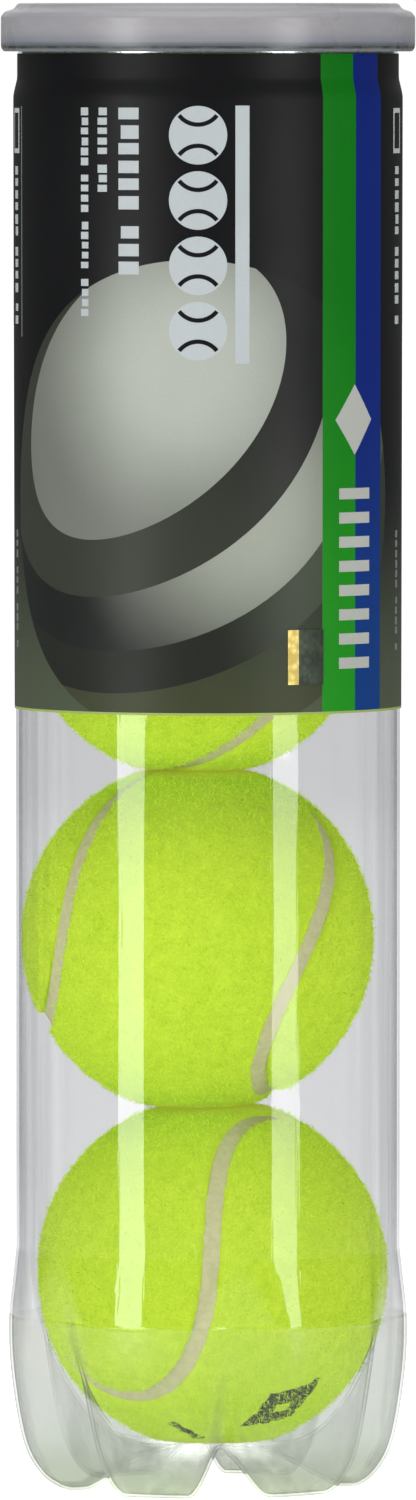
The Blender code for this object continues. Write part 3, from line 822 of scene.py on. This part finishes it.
# -------------------------------------------------------------------- overcap
# (radius, height): over the top and down the skirt, then back inside
OVERCAP = [(0.0, 283.7), (29.9, 283.7), (30.6, 284.6), (36.4, 284.6), (37.2, 283.5),
           (38.9, 283.0), (39.65, 282.1), (39.65, 276.5), (39.5, 275.9), (39.1, 275.4),
           (38.6, 275.4), (38.25, 276.2), (38.6, 277.4), (38.6, 281.9), (36.2, 281.9),
           (35.4, 283.5), (31.4, 283.5), (30.7, 282.7), (0.0, 282.7)]


def build_overcap():
    turned("cap_shell", OVERCAP, 0.45, CAP, "cap", "overcap",
           closed=False, steps=4, count=256)


# ----------------------------------------------------------------- sleeve art
# Art is laid out flat: u is arc length from the front, positive to +X, v is height.
ARC = 37.25                              # millimetres of arc per radian of azimuth
HALF_GIRTH = math.pi * ARC
FILM_OUT, FILM_THICK = 0.25, 0.15        # outer face beyond the wall, and thickness
EDGE_HIGHLIGHT_H = 0.45                            # unprinted strip along the lower edge, painted pale yellow-green as a highlight
PRINT_TOP = 264.8                        # top of the front's small print


def u_of(azimuth):
    return math.radians(azimuth) * ARC


GREEN_U, BLUE_U, BLUE_END_U = u_of(35.8), u_of(48.9), u_of(62.0)
shapes = []            # (ink, outline), later ones print over earlier ones


def ellipse(u, v, long_r, short_r, tilt, count=128):
    cos, sin = math.cos(math.radians(tilt)), math.sin(math.radians(tilt))
    out = []
    for a in angles(count):
        x, y = long_r * math.cos(a), short_r * math.sin(a)
        out.append((u + x * cos - y * sin, v + x * sin + y * cos))
    return out


def arc(u, v, radius, start, end, count=20):
    turns = [math.radians(start + (end - start) * k / count) for k in range(count + 1)]
    return [(u + radius * math.cos(a), v + radius * math.sin(a)) for a in turns]


def rect(ink, u0, v0, u1, v1):
    shapes.append((ink, [(u0, v0), (u1, v0), (u1, v1), (u0, v1)]))


def words(ink, left, right, top, bottom, pitch, seed):
    """A column of small blocks in groups, standing for small print that reads
    down the sleeve."""
    rng = np.random.default_rng(seed)
    z = top
    while z - pitch > bottom:
        for _ in range(int(rng.integers(3, 7))):
            height = pitch * float(rng.uniform(0.62, 0.8))
            if z - height < bottom:
                return
            inset = (right - left) * float(rng.choice([0.0, 0.0, 0.12]))
            rect(ink, left + inset, z - height, right, z)
            z -= pitch
        z -= pitch * 0.7


def ball_icon(u, v, radius):
    """A pale disc with two dark seam lines."""
    away, seam_r, width = radius * 1.18, radius * 0.82, radius * 0.15
    shapes.append(("pale", circle(u, v, radius, 48)))
    for centre, start, end in ((v + away, 218, 322), (v - away, 38, 142)):
        shapes.append(("char", arc(u, centre, seam_r + width / 2, start, end)
                       + arc(u, centre, seam_r - width / 2, end, start)))


# inks of the big picture of a ball, from its innermost ellipse out to its disc
PICTURE = ("disc1", "band1", "disc2", "band2", "disc3")


def draw_picture():
    """A disc with two dark seam bands across it, cut by four nested ellipses."""
    shapes.append(("disc3", circle(-3.0, 190.5, 45.5, 160)))
    for ink, long_r, short_r in (("band2", 60.0, 54.0), ("disc2", 52.0, 46.0),
                                 ("band1", 44.0, 33.5), ("disc1", 33.0, 22.5)):
        shapes.append((ink, ellipse(-13.5, 210.5, long_r, short_r, tilt=42.0)))


def draw_front():
    """Four ball icons down the front, a rule to their right, small print to their left."""
    for k in range(4):
        ball_icon(-1.9, 259.6 - 12.35 * k, 5.55)
    rect("pale", 5.2, 216.4, 7.9, 265.2)
    # left, right, bottom, pitch, seed
    for left, right, bottom, pitch, seed in (
            (-17.6, -13.4, 232.0, 3.35, 3), (-22.2, -20.1, 248.6, 1.9, 5),
            (-26.2, -24.4, 221.5, 1.9, 7)):
        words("pale", left, right, PRINT_TOP, bottom, pitch, seed)


def draw_stripe_marks():
    """A plain diamond over a ladder of equal bars, where the stripes meet."""
    centre, diamond_v, diamond_r, diamond_h = BLUE_U - 0.2, 205.5, 5.2, 6.7
    shapes.append(("mark", [(centre - diamond_r, diamond_v), (centre, diamond_v - diamond_h),
                            (centre + diamond_r, diamond_v),
                            (centre, diamond_v + diamond_h)]))
    for k in range(8):
        top = 192.5 - 4.6 * k
        rect("mark", BLUE_U - 4.4, top - 2.1, BLUE_U + 4.4, top)


def draw_sides():
    """An outlined box and small print on each side, and a rule on the left."""
    for azimuth, upper_seed, lower_seed in ((-79.0, 20, 30), (75.5, 22, 32)):
        u = u_of(azimuth)
        rect("pale", u - 2.6, 256.0, u + 2.6, 264.6)
        rect("char", u - 1.9, 256.9, u + 1.9, 263.7)
        words("pale", u - 1.4, u + 1.4, 253.5, 222.0, 2.3, upper_seed)
        words("grey", u - 0.8, u + 0.8, 184.0, 160.0, 1.9, lower_seed)
    rect("grey", u_of(-73.0), 221.0, u_of(-72.2), 265.0)


def draw_back():
    """Columns of small print, a large ball icon and a ruled pale panel."""
    for azimuth, seed in ((108.0, 41), (114.5, 42), (121.0, 43),
                          (-112.0, 44), (-118.5, 45), (-125.0, 46)):
        words("grey", u_of(azimuth) - 1.1, u_of(azimuth) + 1.1, 262.0, 176.0, 2.0, seed)
    ball_icon(u_of(178.0), 238.0, 15.0)
    rect("pale", u_of(150.0), 160.0, u_of(170.0), 200.0)
    for k in range(9):
        v = 196.0 - 4.0 * k
        rect("char", u_of(152.5), v - 0.5, u_of(167.5), v + 0.2)


def draw_art():
    draw_picture()
    rect("green", GREEN_U, SLEEVE_Z0, BLUE_U, SLEEVE_Z1)
    rect("blue", BLUE_U, SLEEVE_Z0, BLUE_END_U, SLEEVE_Z1)
    draw_front()
    draw_stripe_marks()
    # painted highlight along the sleeve's lower edge
    rect("edge_highlight", -118.0, SLEEVE_Z0 - 1.0, 118.0, SLEEVE_Z0 + EDGE_HIGHLIGHT_H)
    draw_sides()
    draw_back()


def make_inks():
    return {
        "char": print_ink("charcoal", srgb(72, 80, 62), srgb(11, 12, 14),
                          span=(148.0, 196.0)),
        "char_low": print_ink("charcoal_low", srgb(44, 45, 36), srgb(80, 90, 74),
                              span=(-20.0, 22.0), direction=(1.0, 0.0)),
        "pale": print_ink("pale", srgb(176, 183, 185)),
        "grey": print_ink("grey", srgb(112, 116, 114)),
        "disc1": print_ink("disc_upper", srgb(168, 173, 164), srgb(108, 112, 104),
                           span=(6.0, 36.0), centre=(-4.0, 216.0)),
        "band1": print_ink("band_upper", srgb(50, 53, 45), srgb(18, 19, 20),
                           span=(118.0, 160.0), direction=(0.75, 0.66)),
        "disc2": print_ink("disc_middle", srgb(150, 155, 143), srgb(26, 30, 27),
                           span=(5.0, 40.0), centre=(9.0, 189.0)),
        "band2": print_ink("band_lower", srgb(32, 35, 29), srgb(64, 72, 58),
                           span=(48.0, 76.0), direction=(1.0, 0.3)),
        "disc3": print_ink("disc_lower", srgb(58, 64, 42), srgb(44, 52, 40),
                           span=(148.0, 176.0)),
        "green": print_ink("green", srgb(24, 135, 20), srgb(1, 111, 10),
                           span=(150.0, 235.0), grain=0.03),
        "blue": print_ink("blue", srgb(1, 54, 119), srgb(0, 30, 111),
                          span=(150.0, 215.0), grain=0.03),
        "mark": print_ink("mark", srgb(170, 173, 166)),
        "edge_highlight": print_ink("film_edge_highlight", srgb(150, 168, 92)),
        "blank": print_ink("sleeve_back", srgb(170, 172, 170)),
    }


# --------------------------------------------------------------------- sleeve
def clip(outline):
    """The outline cut to the sleeve's height and girth."""
    edge = HALF_GIRTH - 0.05
    for axis, limit, keep_less in ((1, SLEEVE_Z0, False), (1, SLEEVE_Z1, True),
                                   (0, -edge, False), (0, edge, True)):
        out = []
        for a, b in next_pairs(outline):
            a_in = a[axis] <= limit if keep_less else a[axis] >= limit
            b_in = b[axis] <= limit if keep_less else b[axis] >= limit
            if a_in:
                out.append(a)
            if a_in != b_in:
                t = (limit - a[axis]) / (b[axis] - a[axis])
                out.append((a[0] + (b[0] - a[0]) * t, a[1] + (b[1] - a[1]) * t))
        outline = out
        if len(outline) < 3:
            return []
    return outline


def cut_sleeve():
    """Flat triangles cut along every outline and a grid, each with the names of the
    inks that cover it in print order."""
    coords, polys, edges, kept = [], [], [], []
    for ink, outline in shapes:
        outline = clip(outline)
        if not outline:
            continue
        kept.append(ink)
        if sum(a[0] * b[1] - b[0] * a[1] for a, b in next_pairs(outline)) < 0:
            outline = outline[::-1]
        polys.append(list(range(len(coords), len(coords) + len(outline))))
        coords.extend(Vector(p) for p in outline)
    columns = 120
    lines = []
    for k in range(columns + 1):
        u = -HALF_GIRTH + 2 * HALF_GIRTH * k / columns
        lines.append(((u, SLEEVE_Z0), (u, SLEEVE_Z1)))
    levels = [SLEEVE_Z0, SLEEVE_Z0 + EDGE_HIGHLIGHT_H, 152.0, *(160.0 + 10 * k for k in range(11)),
              *(z for _, z in reversed(SHOULDER)), 273.0, SLEEVE_Z1]
    lines += [((-HALF_GIRTH, z), (HALF_GIRTH, z)) for z in levels]
    for start, end in lines:
        edges.append((len(coords), len(coords) + 1))
        coords.extend([Vector(start), Vector(end)])
    cut = delaunay_2d_cdt(coords, edges, polys, 0, 1e-4, True)
    points = [(p.x, p.y) for p in cut[0]]
    return points, cut[2], [[kept[i] for i in sorted(ids)] for ids in cut[5]]


def ink_of(names):
    """The ink that shows; the picture's ellipses only print inside its disc."""
    if not names:
        return "char"
    if names[-1] not in PICTURE:
        return names[-1]
    if "disc3" not in names:
        return "char"
    return next(ink for ink in PICTURE if ink in names)


def wall_radius(z):
    profile = [(NECK_R, SLEEVE_Z1), *SHOULDER, (BODY_R, SLEEVE_Z0)][::-1]
    return float(np.interp(z, [p[1] for p in profile], [p[0] for p in profile]))


def build_sleeve():
    draw_art()
    points, triangles, covers = cut_sleeve()
    inks = make_inks()
    ink_index = {ink: i for i, ink in enumerate(inks)}
    weld_grid = 2000                  # steps per millimetre that tell vertices apart
    girth = 2 * HALF_GIRTH
    index, verts, uv, normals = {}, [], [], []

    def vert(u, z):
        key = (round(((u + HALF_GIRTH) % girth) * weld_grid) % round(girth * weld_grid),
               round(z * weld_grid))
        if key not in index:
            index[key] = len(verts)
            angle = u / ARC
            verts.append(at_azimuth(wall_radius(z) + FILM_OUT, angle, z))
            uv.append((u / 100.0, z / 100.0))
            slope = (wall_radius(z + 0.3) - wall_radius(z - 0.3)) / 0.6
            normals.append(tuple(Vector(at_azimuth(1.0, angle, -slope)).normalized()))
        return index[key]

    faces, mats = [], []
    for triangle, names in zip(triangles, covers):
        face = [vert(*points[i]) for i in triangle]
        if len(set(face)) == 3:
            faces.append(face)
            mats.append(ink_index[ink_of(names)])
    outer, normals = np.array(verts), np.array(normals)
    count = len(outer)
    inner = outer - normals * FILM_THICK
    back = [[v + count for v in reversed(face)] for face in faces]
    sides = dict.fromkeys(side for face in faces for side in next_pairs(face))
    walls = [[b, a, a + count, b + count] for a, b in sides if (b, a) not in sides]
    mats += [ink_index["blank"]] * (len(back) + len(walls))
    piece("printed_sleeve", np.vstack([outer, inner]) * MM, faces + back + walls,
          list(inks.values()), "can", "label_sleeve",
          normals=np.vstack([normals, -normals]), face_mats=mats, uv=np.array(uv + uv))


# --------------------------------------------------------------- foil sticker
def build_sticker():
    """A dark foil patch, with a gold strip down its left edge."""
    gold = foil("foil_gold", srgb(206, 188, 104), srgb(186, 164, 82), mottled=False)
    dark = foil("foil_dark", srgb(38, 50, 36), srgb(22, 32, 24), mottled=True)
    outer_r, inner_r = 37.32, 37.22
    start_az, width_az, gold_end_az = 24.0, 12.0, 27.25
    bottom, height = 155.4, 10.4
    azimuths = [start_az + width_az * k / 24 for k in range(25)]
    heights = [bottom + height * k / 16 for k in range(17)]
    verts = [[c * MM for c in at_azimuth(radius, math.radians(azimuth), z)]
             for radius in (outer_r, inner_r) for azimuth in azimuths for z in heights]
    faces, mats = [], []
    rows, columns = len(heights), len(azimuths)
    under = columns * rows
    for i in range(columns - 1):
        for j in range(rows - 1):
            corner = i * rows + j
            face = (corner, corner + rows, corner + rows + 1, corner + 1)
            faces += [face, tuple(v + under for v in reversed(face))]
            mats += [0 if azimuths[i] < gold_end_az else 1, 0]
    border = [*range(rows),
              *(i * rows + rows - 1 for i in range(1, columns)),
              *((columns - 1) * rows + j for j in range(rows - 2, -1, -1)),
              *(i * rows for i in range(columns - 2, 0, -1))]
    for a, b in next_pairs(border):
        faces.append((a, b, b + under, a + under))
        mats.append(0)
    obj = piece("foil_sticker", verts, faces, [gold, dark], "can", "security_sticker",
                face_mats=mats)
    obj.data.set_sharp_from_angle(angle=math.radians(40))


# ---------------------------------------------------------------------- balls
# the seam's curve on the unit sphere
CURVE_B = 0.18
CURVE_A = 1.0 - CURVE_B
CURVE_C = 2.0 * math.sqrt(CURVE_A * CURVE_B)
SEAM_REACH_R = 32.9      # radius at which widths beside the seam are measured
FELT_R, FELT_INNER_R = 33.55, 30.2
FELT_GAP = 1.55          # from the seam's middle to the felt's edge
FELT_FLAT = 32.2         # height of the pressed faces from the ball's centre
FIBRES = 22000           # loose fibres on each felt piece
FIBRE_MAX_R = 36.1       # no fibre stands through the can's wall


def seam_point(tau):
    return np.stack([CURVE_A * np.cos(tau) - CURVE_B * np.cos(3 * tau),
                     -(CURVE_A * np.sin(tau) + CURVE_B * np.sin(3 * tau)),
                     CURVE_C * np.cos(2 * tau)], -1)


def beside(tau, offset):
    """Unit directions at an offset in millimetres to the side of the seam."""
    step = 1e-4
    along = seam_point(tau + step) - seam_point(tau - step)
    across = np.cross(along, seam_point(tau))
    across /= np.linalg.norm(across, axis=-1, keepdims=True)
    angle = np.full(len(tau), offset)[:, None] / SEAM_REACH_R
    return seam_point(tau) * np.cos(angle) + across * np.sin(angle)


def from_uvz(p):
    """From the seam curve's axes to the ball's. It mirrors, so faces on grids laid
    out in the curve's axes are wound the other way."""
    k = math.sqrt(0.5)
    return np.stack([(p[..., 0] + p[..., 1]) * k, (p[..., 0] - p[..., 1]) * k, p[..., 2]], -1)


def pressed(directions, radius, half_height, soft=0.5):
    """Radii in mm, with the top and bottom of the ball pressed flat."""
    limit = half_height / np.maximum(np.abs(directions[..., 2]), 1e-6)
    near, cap = 32.0, 40       # keeps the exponents small
    return -soft * np.log(np.exp(-np.minimum(radius - near, cap) / soft)
                          + np.exp(-np.minimum(limit - near, cap) / soft)) + near


def nap(directions, seed):
    """Height in mm of the matted nap at each unit direction."""
    out = np.empty(len(directions))
    shift = Vector((seed * 7.3, seed * 3.1, seed))
    for i, direction in enumerate(directions):
        q = Vector([float(c) for c in direction]) * 33.0 + shift
        out[i] = (0.14 * noise.noise(q * 0.45) + 0.26 * noise.noise(q * 0.9)
                  + 0.20 * noise.noise(q * 1.8))
    return out


def felt_grid(turn, second, rows, across):
    """Unit directions over one felt piece, and how far in from the seam each lies."""
    tau = np.linspace(-math.pi / 2, math.pi / 2, rows + 1)
    edge = beside(tau, FELT_GAP)
    side = np.hypot(edge[:, 1], edge[:, 2])
    half_angle = np.arctan2(edge[:, 0], side)
    s = np.linspace(-1, 1, across + 1)
    s = np.sin(s * math.pi / 2) * 0.35 + s * 0.65      # finer next to the seam
    q = half_angle[:, None] * s[None, :]
    p = np.stack([np.sin(q), (edge[:, 1] / side)[:, None] * np.cos(q),
                  (edge[:, 2] / side)[:, None] * np.cos(q)], -1)
    if second:
        p = np.stack([p[..., 1], p[..., 0], -p[..., 2]], -1)
    # along the row, or in from the tip, in mm
    inward = np.minimum((half_angle[:, None] - np.abs(q)) * 33.0, 50.0)
    tip = np.minimum(tau + math.pi / 2, math.pi / 2 - tau) * 33.0 * 1.36
    return from_uvz(p) @ np.array(turn).T, np.minimum(inward, tip[:, None])


def felt_faces(rows, across):
    """Faces of the closed shell: outer grid, inner grid and the two side walls."""
    stride = across + 1
    under = (rows + 1) * stride
    ident = np.arange(2 * under)
    for layer in (0, under):                              # the tips are single points
        ident[layer:layer + stride] = layer
        ident[layer + rows * stride:layer + under] = layer + rows * stride
    faces = []

    def add_face(corners):
        face = without_repeats([int(ident[v]) for v in corners])
        if len(face) > 2:
            faces.append(face[::-1])

    for i in range(rows):
        for j in range(across):
            corner = i * stride + j
            face = [corner, corner + stride, corner + stride + 1, corner + 1]
            add_face(face)
            add_face([v + under for v in face[::-1]])
    for i in range(rows):
        for j in (0, across):
            a = i * stride + j
            b = a + stride
            add_face([a, a + under, b + under, b] if j == 0
                     else [a, b, b + under, a + under])
    return faces


def fibre_points(grid, inward, radii, centre_x, seed):
    """Loose fibres standing out of the nap, each a slim tetrahedron of four points."""
    rows, across = grid.shape[0] - 1, grid.shape[1] - 1
    sunk, half_width = 0.22, 0.09
    rng = np.random.default_rng(seed)
    pick = rng.integers(0, rows * across, FIBRES * 3)
    i, j = pick // across, pick % across
    cell = np.linalg.norm(np.cross(grid[i + 1, j] - grid[i, j],
                                   grid[i, j + 1] - grid[i, j]), axis=1)
    keep = (rng.random(len(pick)) < cell / np.percentile(cell, 90)) & (inward[i, j] > 0.5)
    i, j = i[keep][:FIBRES], j[keep][:FIBRES]
    root = (grid[i, j] + (grid[i + 1, j] - grid[i, j]) * rng.random((len(i), 1))
            + (grid[i, j + 1] - grid[i, j]) * rng.random((len(i), 1)))
    root /= np.linalg.norm(root, axis=1, keepdims=True)
    side = np.cross(root, rng.normal(size=root.shape))
    side /= np.linalg.norm(side, axis=1, keepdims=True)
    other = np.cross(root, side)
    out = 0.35 + 1.0 * rng.random((len(i), 1)) ** 2
    length = rng.uniform(0.3, 1.2, (len(i), 1))
    base = root * (radii[i, j][:, None] - sunk)
    points = np.stack([base + other * half_width, base - other * half_width,
                       base + root * half_width * 1.5, base + root * out + side * length], 1)
    # nothing stands through the wall or through the neighbouring balls
    points[..., 2] = np.clip(points[..., 2], -FELT_FLAT, FELT_FLAT)
    reach = np.hypot(points[..., 0] + centre_x, points[..., 1])
    pull = np.minimum(1.0, FIBRE_MAX_R / np.maximum(reach, 1e-6))
    points[..., 0] = (points[..., 0] + centre_x) * pull - centre_x
    points[..., 1] *= pull
    return points


def fibre_faces(points, start):
    """Outward faces of the tetrahedra, numbered from start."""
    normal = np.cross(points[:, 1] - points[:, 0], points[:, 2] - points[:, 0])
    flips = np.einsum("ij,ij->i", normal, points[:, 3] - points[:, 0]) > 0
    faces = []
    for number, flip in enumerate(flips):
        a, b, c, tip = range(start + 4 * number, start + 4 * number + 4)
        if flip:
            b, c = c, b
        faces.extend(((a, b, c), (a, tip, b), (b, tip, c), (c, tip, a)))
    return faces


def build_felt(name, turn, second, body, node, centre, seed):
    rows, across = ((170, 84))
    grid, inward = felt_grid(turn, second, rows, across)
    height = FELT_R + nap(grid.reshape(-1, 3), seed).reshape(grid.shape[:2])
    # the felt drops away at the seam: a tight edge within a broader slope
    height = height - 0.62 * np.exp(-(inward / 0.55) ** 2) - 0.22 * np.exp(-(inward / 2.0) ** 2)
    radii = pressed(grid, height, FELT_FLAT, soft=0.22)
    verts = np.vstack([(grid * radii[..., None]).reshape(-1, 3),
                       (grid * FELT_INNER_R).reshape(-1, 3)])
    faces = felt_faces(rows, across)
    used = np.unique(np.concatenate([np.array(face) for face in faces]))
    remap = -np.ones(len(verts), int)
    remap[used] = np.arange(len(used))
    faces = [[int(remap[v]) for v in face] for face in faces]
    verts = verts[used]
    solid = len(faces)
    fibres = fibre_points(grid, inward, radii, centre[0], seed)
    faces += fibre_faces(fibres, len(verts))
    verts = np.vstack([verts, fibres.reshape(-1, 3)]) + centre
    slots = [0] * solid + [1] * (len(faces) - solid)
    nap_mat = FELT_STAMPED if body == "ball_1" else FELT
    piece(name, verts * MM, faces, [nap_mat, FELT_LOOSE], body, node,
          face_mats=slots)


def build_seam(name, turn, body, node, centre):
    """The seam's closed band: a slightly hollow outer face over a flat inner one."""
    count, cross = ((360, 10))
    half_width, outer_r, hollow, inner_r, flat = 1.75, 32.72, 0.10, 31.0, 31.85
    tau = np.linspace(0, 2 * math.pi, count, endpoint=False) - math.pi / 2
    section = [(w, outer_r - hollow * (1 - (w / half_width) ** 2))
               for w in np.linspace(-half_width, half_width, cross)]
    section += [(half_width, inner_r), (-half_width, inner_r)]
    size = len(section)
    verts = np.zeros((count, size, 3))
    for j, (offset, radius) in enumerate(section):
        directions = from_uvz(beside(tau, offset)) @ np.array(turn).T
        radii = np.full(count, radius)
        if j < cross:
            radii = pressed(directions, radii, flat)
        verts[:, j] = directions * radii[:, None]
    faces = []
    for i in range(count):
        row, next_row = i * size, (i + 1) % count * size
        for j in range(size):
            after = (j + 1) % size
            faces.append([next_row + j, next_row + after, row + after, row + j])
    obj = piece(name, (verts.reshape(-1, 3) + centre) * MM, faces, [SEAM], body, node)
    obj.data.set_sharp_from_angle(angle=math.radians(50))


def build_balls():
    for number, (x, degrees) in enumerate(BALLS, 1):
        ball = f"ball_{number}"
        centre = np.array([x, 0.0, FIRST_BALL_Z + BALL_PITCH * (number - 1)])
        turn = Euler([math.radians(q) for q in degrees], "XYZ").to_matrix()
        build_felt(ball + "_nap_a", turn, False, ball, ball + "_felt_a", centre, number)
        build_felt(ball + "_nap_b", turn, True, ball, ball + "_felt_b", centre, number + 10)
        build_seam(ball + "_band", turn, ball, ball + "_seam", centre)
        for core in ("_core_a", "_core_b"):
            for slot in nodes[ball + core].material_slots:
                slot.material = CORE


# --------------------------------------------------------- floor, light, view
def floor_material():
    """White to the camera; to other rays it glows less, most near the can."""
    seen, reflected = (0.86, 0.86, 0.86), (0.30, 0.30, 0.30)
    base_glow, fill_glow, camera_glow = 0.06, 0.30, 0.94
    mat = Nodes("pale_floor")
    rays = mat.add("LightPath").outputs
    diffuse = mat.shader("BsdfDiffuse",
                         Color=mat.mix(rays["Is Glossy Ray"], seen, reflected))
    reach = mat.vector("LENGTH", mat.coords())["Value"]
    shine = mat.times(rays["Is Glossy Ray"], mat.span(reach, at=(0.2, 0.9), to=(0.75, 0.0)))
    strength = mat.plus(base_glow, shine, mat.times(rays["Is Diffuse Ray"], fill_glow),
                        mat.times(rays["Is Camera Ray"], camera_glow))
    glow = mat.shader("Emission", Color=(1.0, 1.0, 1.0), Strength=strength)
    both = mat.add("AddShader")
    mat.put(both.inputs[0], diffuse)
    mat.put(both.inputs[1], glow)
    return mat.done(both.outputs[0])


def build_floor():
    radius, sides, z = 12, 96, -0.0002
    mesh = bpy.data.meshes.new("floor")
    mesh.from_pydata([(x, y, z) for x, y in circle(0.0, 0.0, radius, sides)], [],
                     [tuple(range(sides))])
    floor = bpy.data.objects.new("floor", mesh)
    bpy.context.scene.collection.objects.link(floor)
    mesh.materials.append(floor_material())


def build_world():
    """White surroundings, dimmer to every ray but the camera's."""
    light_level, camera_extra = 0.19, 0.83
    world = bpy.data.worlds.new("studio")
    bpy.context.scene.world = world
    world.use_nodes = True
    tree = world.node_tree
    background = tree.nodes["Background"]
    path = tree.nodes.new("ShaderNodeLightPath")
    level = tree.nodes.new("ShaderNodeMath")
    level.operation = "MULTIPLY_ADD"
    tree.links.new(path.outputs["Is Camera Ray"], level.inputs[0])
    level.inputs[1].default_value = camera_extra
    level.inputs[2].default_value = light_level
    tree.links.new(level.outputs[0], background.inputs["Strength"])
    background.inputs["Color"].default_value = (1.0, 1.0, 1.0, 1.0)


def softbox(name, location, target, width, height, power):
    light = bpy.data.lights.new(name, "AREA")
    light.shape = "RECTANGLE"
    light.size, light.size_y = width, height
    light.energy = power
    obj = bpy.data.objects.new(name, light)
    obj.location = location
    aim = Vector(target) - Vector(location)
    obj.rotation_euler = aim.to_track_quat("-Z", "Y").to_euler()
    obj.visible_camera = False
    bpy.context.scene.collection.objects.link(obj)


def build_lights():
    distance, width, bottom, top = 0.43, 0.122, 0.004, 0.36
    middle = (bottom + top) / 2
    for name, azimuth, power in (("strip_left", -45.0, 0.95), ("strip_right", 45.0, 0.76)):
        softbox(name, at_azimuth(distance, math.radians(azimuth), middle),
                target=(0, 0, middle), width=width, height=top - bottom, power=power)
    softbox("overhead", (0.0, -0.5, 2.0), target=(0, 0, 0.1), width=2.4, height=2.4,
            power=15.0)
    softbox("rear_fill", (0.0, 2.2, 1.2), target=(0, 0, 0.15), width=2.5, height=1.6,
            power=6.5)


def build_camera():
    location, target = (0.0, -3.0, 0.279), (0.0, 0.0, 0.1415)
    data = bpy.data.cameras.new("camera")
    camera = bpy.data.objects.new("camera", data)
    bpy.context.scene.collection.objects.link(camera)
    bpy.context.scene.camera = camera
    camera.location = location
    look = Vector(target) - Vector(camera.location)
    camera.rotation_euler = look.to_track_quat("-Z", "Y").to_euler()
    data.sensor_width = 36.0
    data.lens = 375.7
    data.clip_start, data.clip_end = 0.05, 60.0


build_body()
build_end()
build_tab()
build_overcap()
build_sleeve()
build_sticker()
build_balls()
build_floor()
build_world()
build_lights()
build_camera()

scene = bpy.context.scene
scene.cycles.transparent_max_bounces = 40     # the clear walls are crossed many times
scene.view_settings.view_transform = "Standard"
scene.view_settings.look = "None"
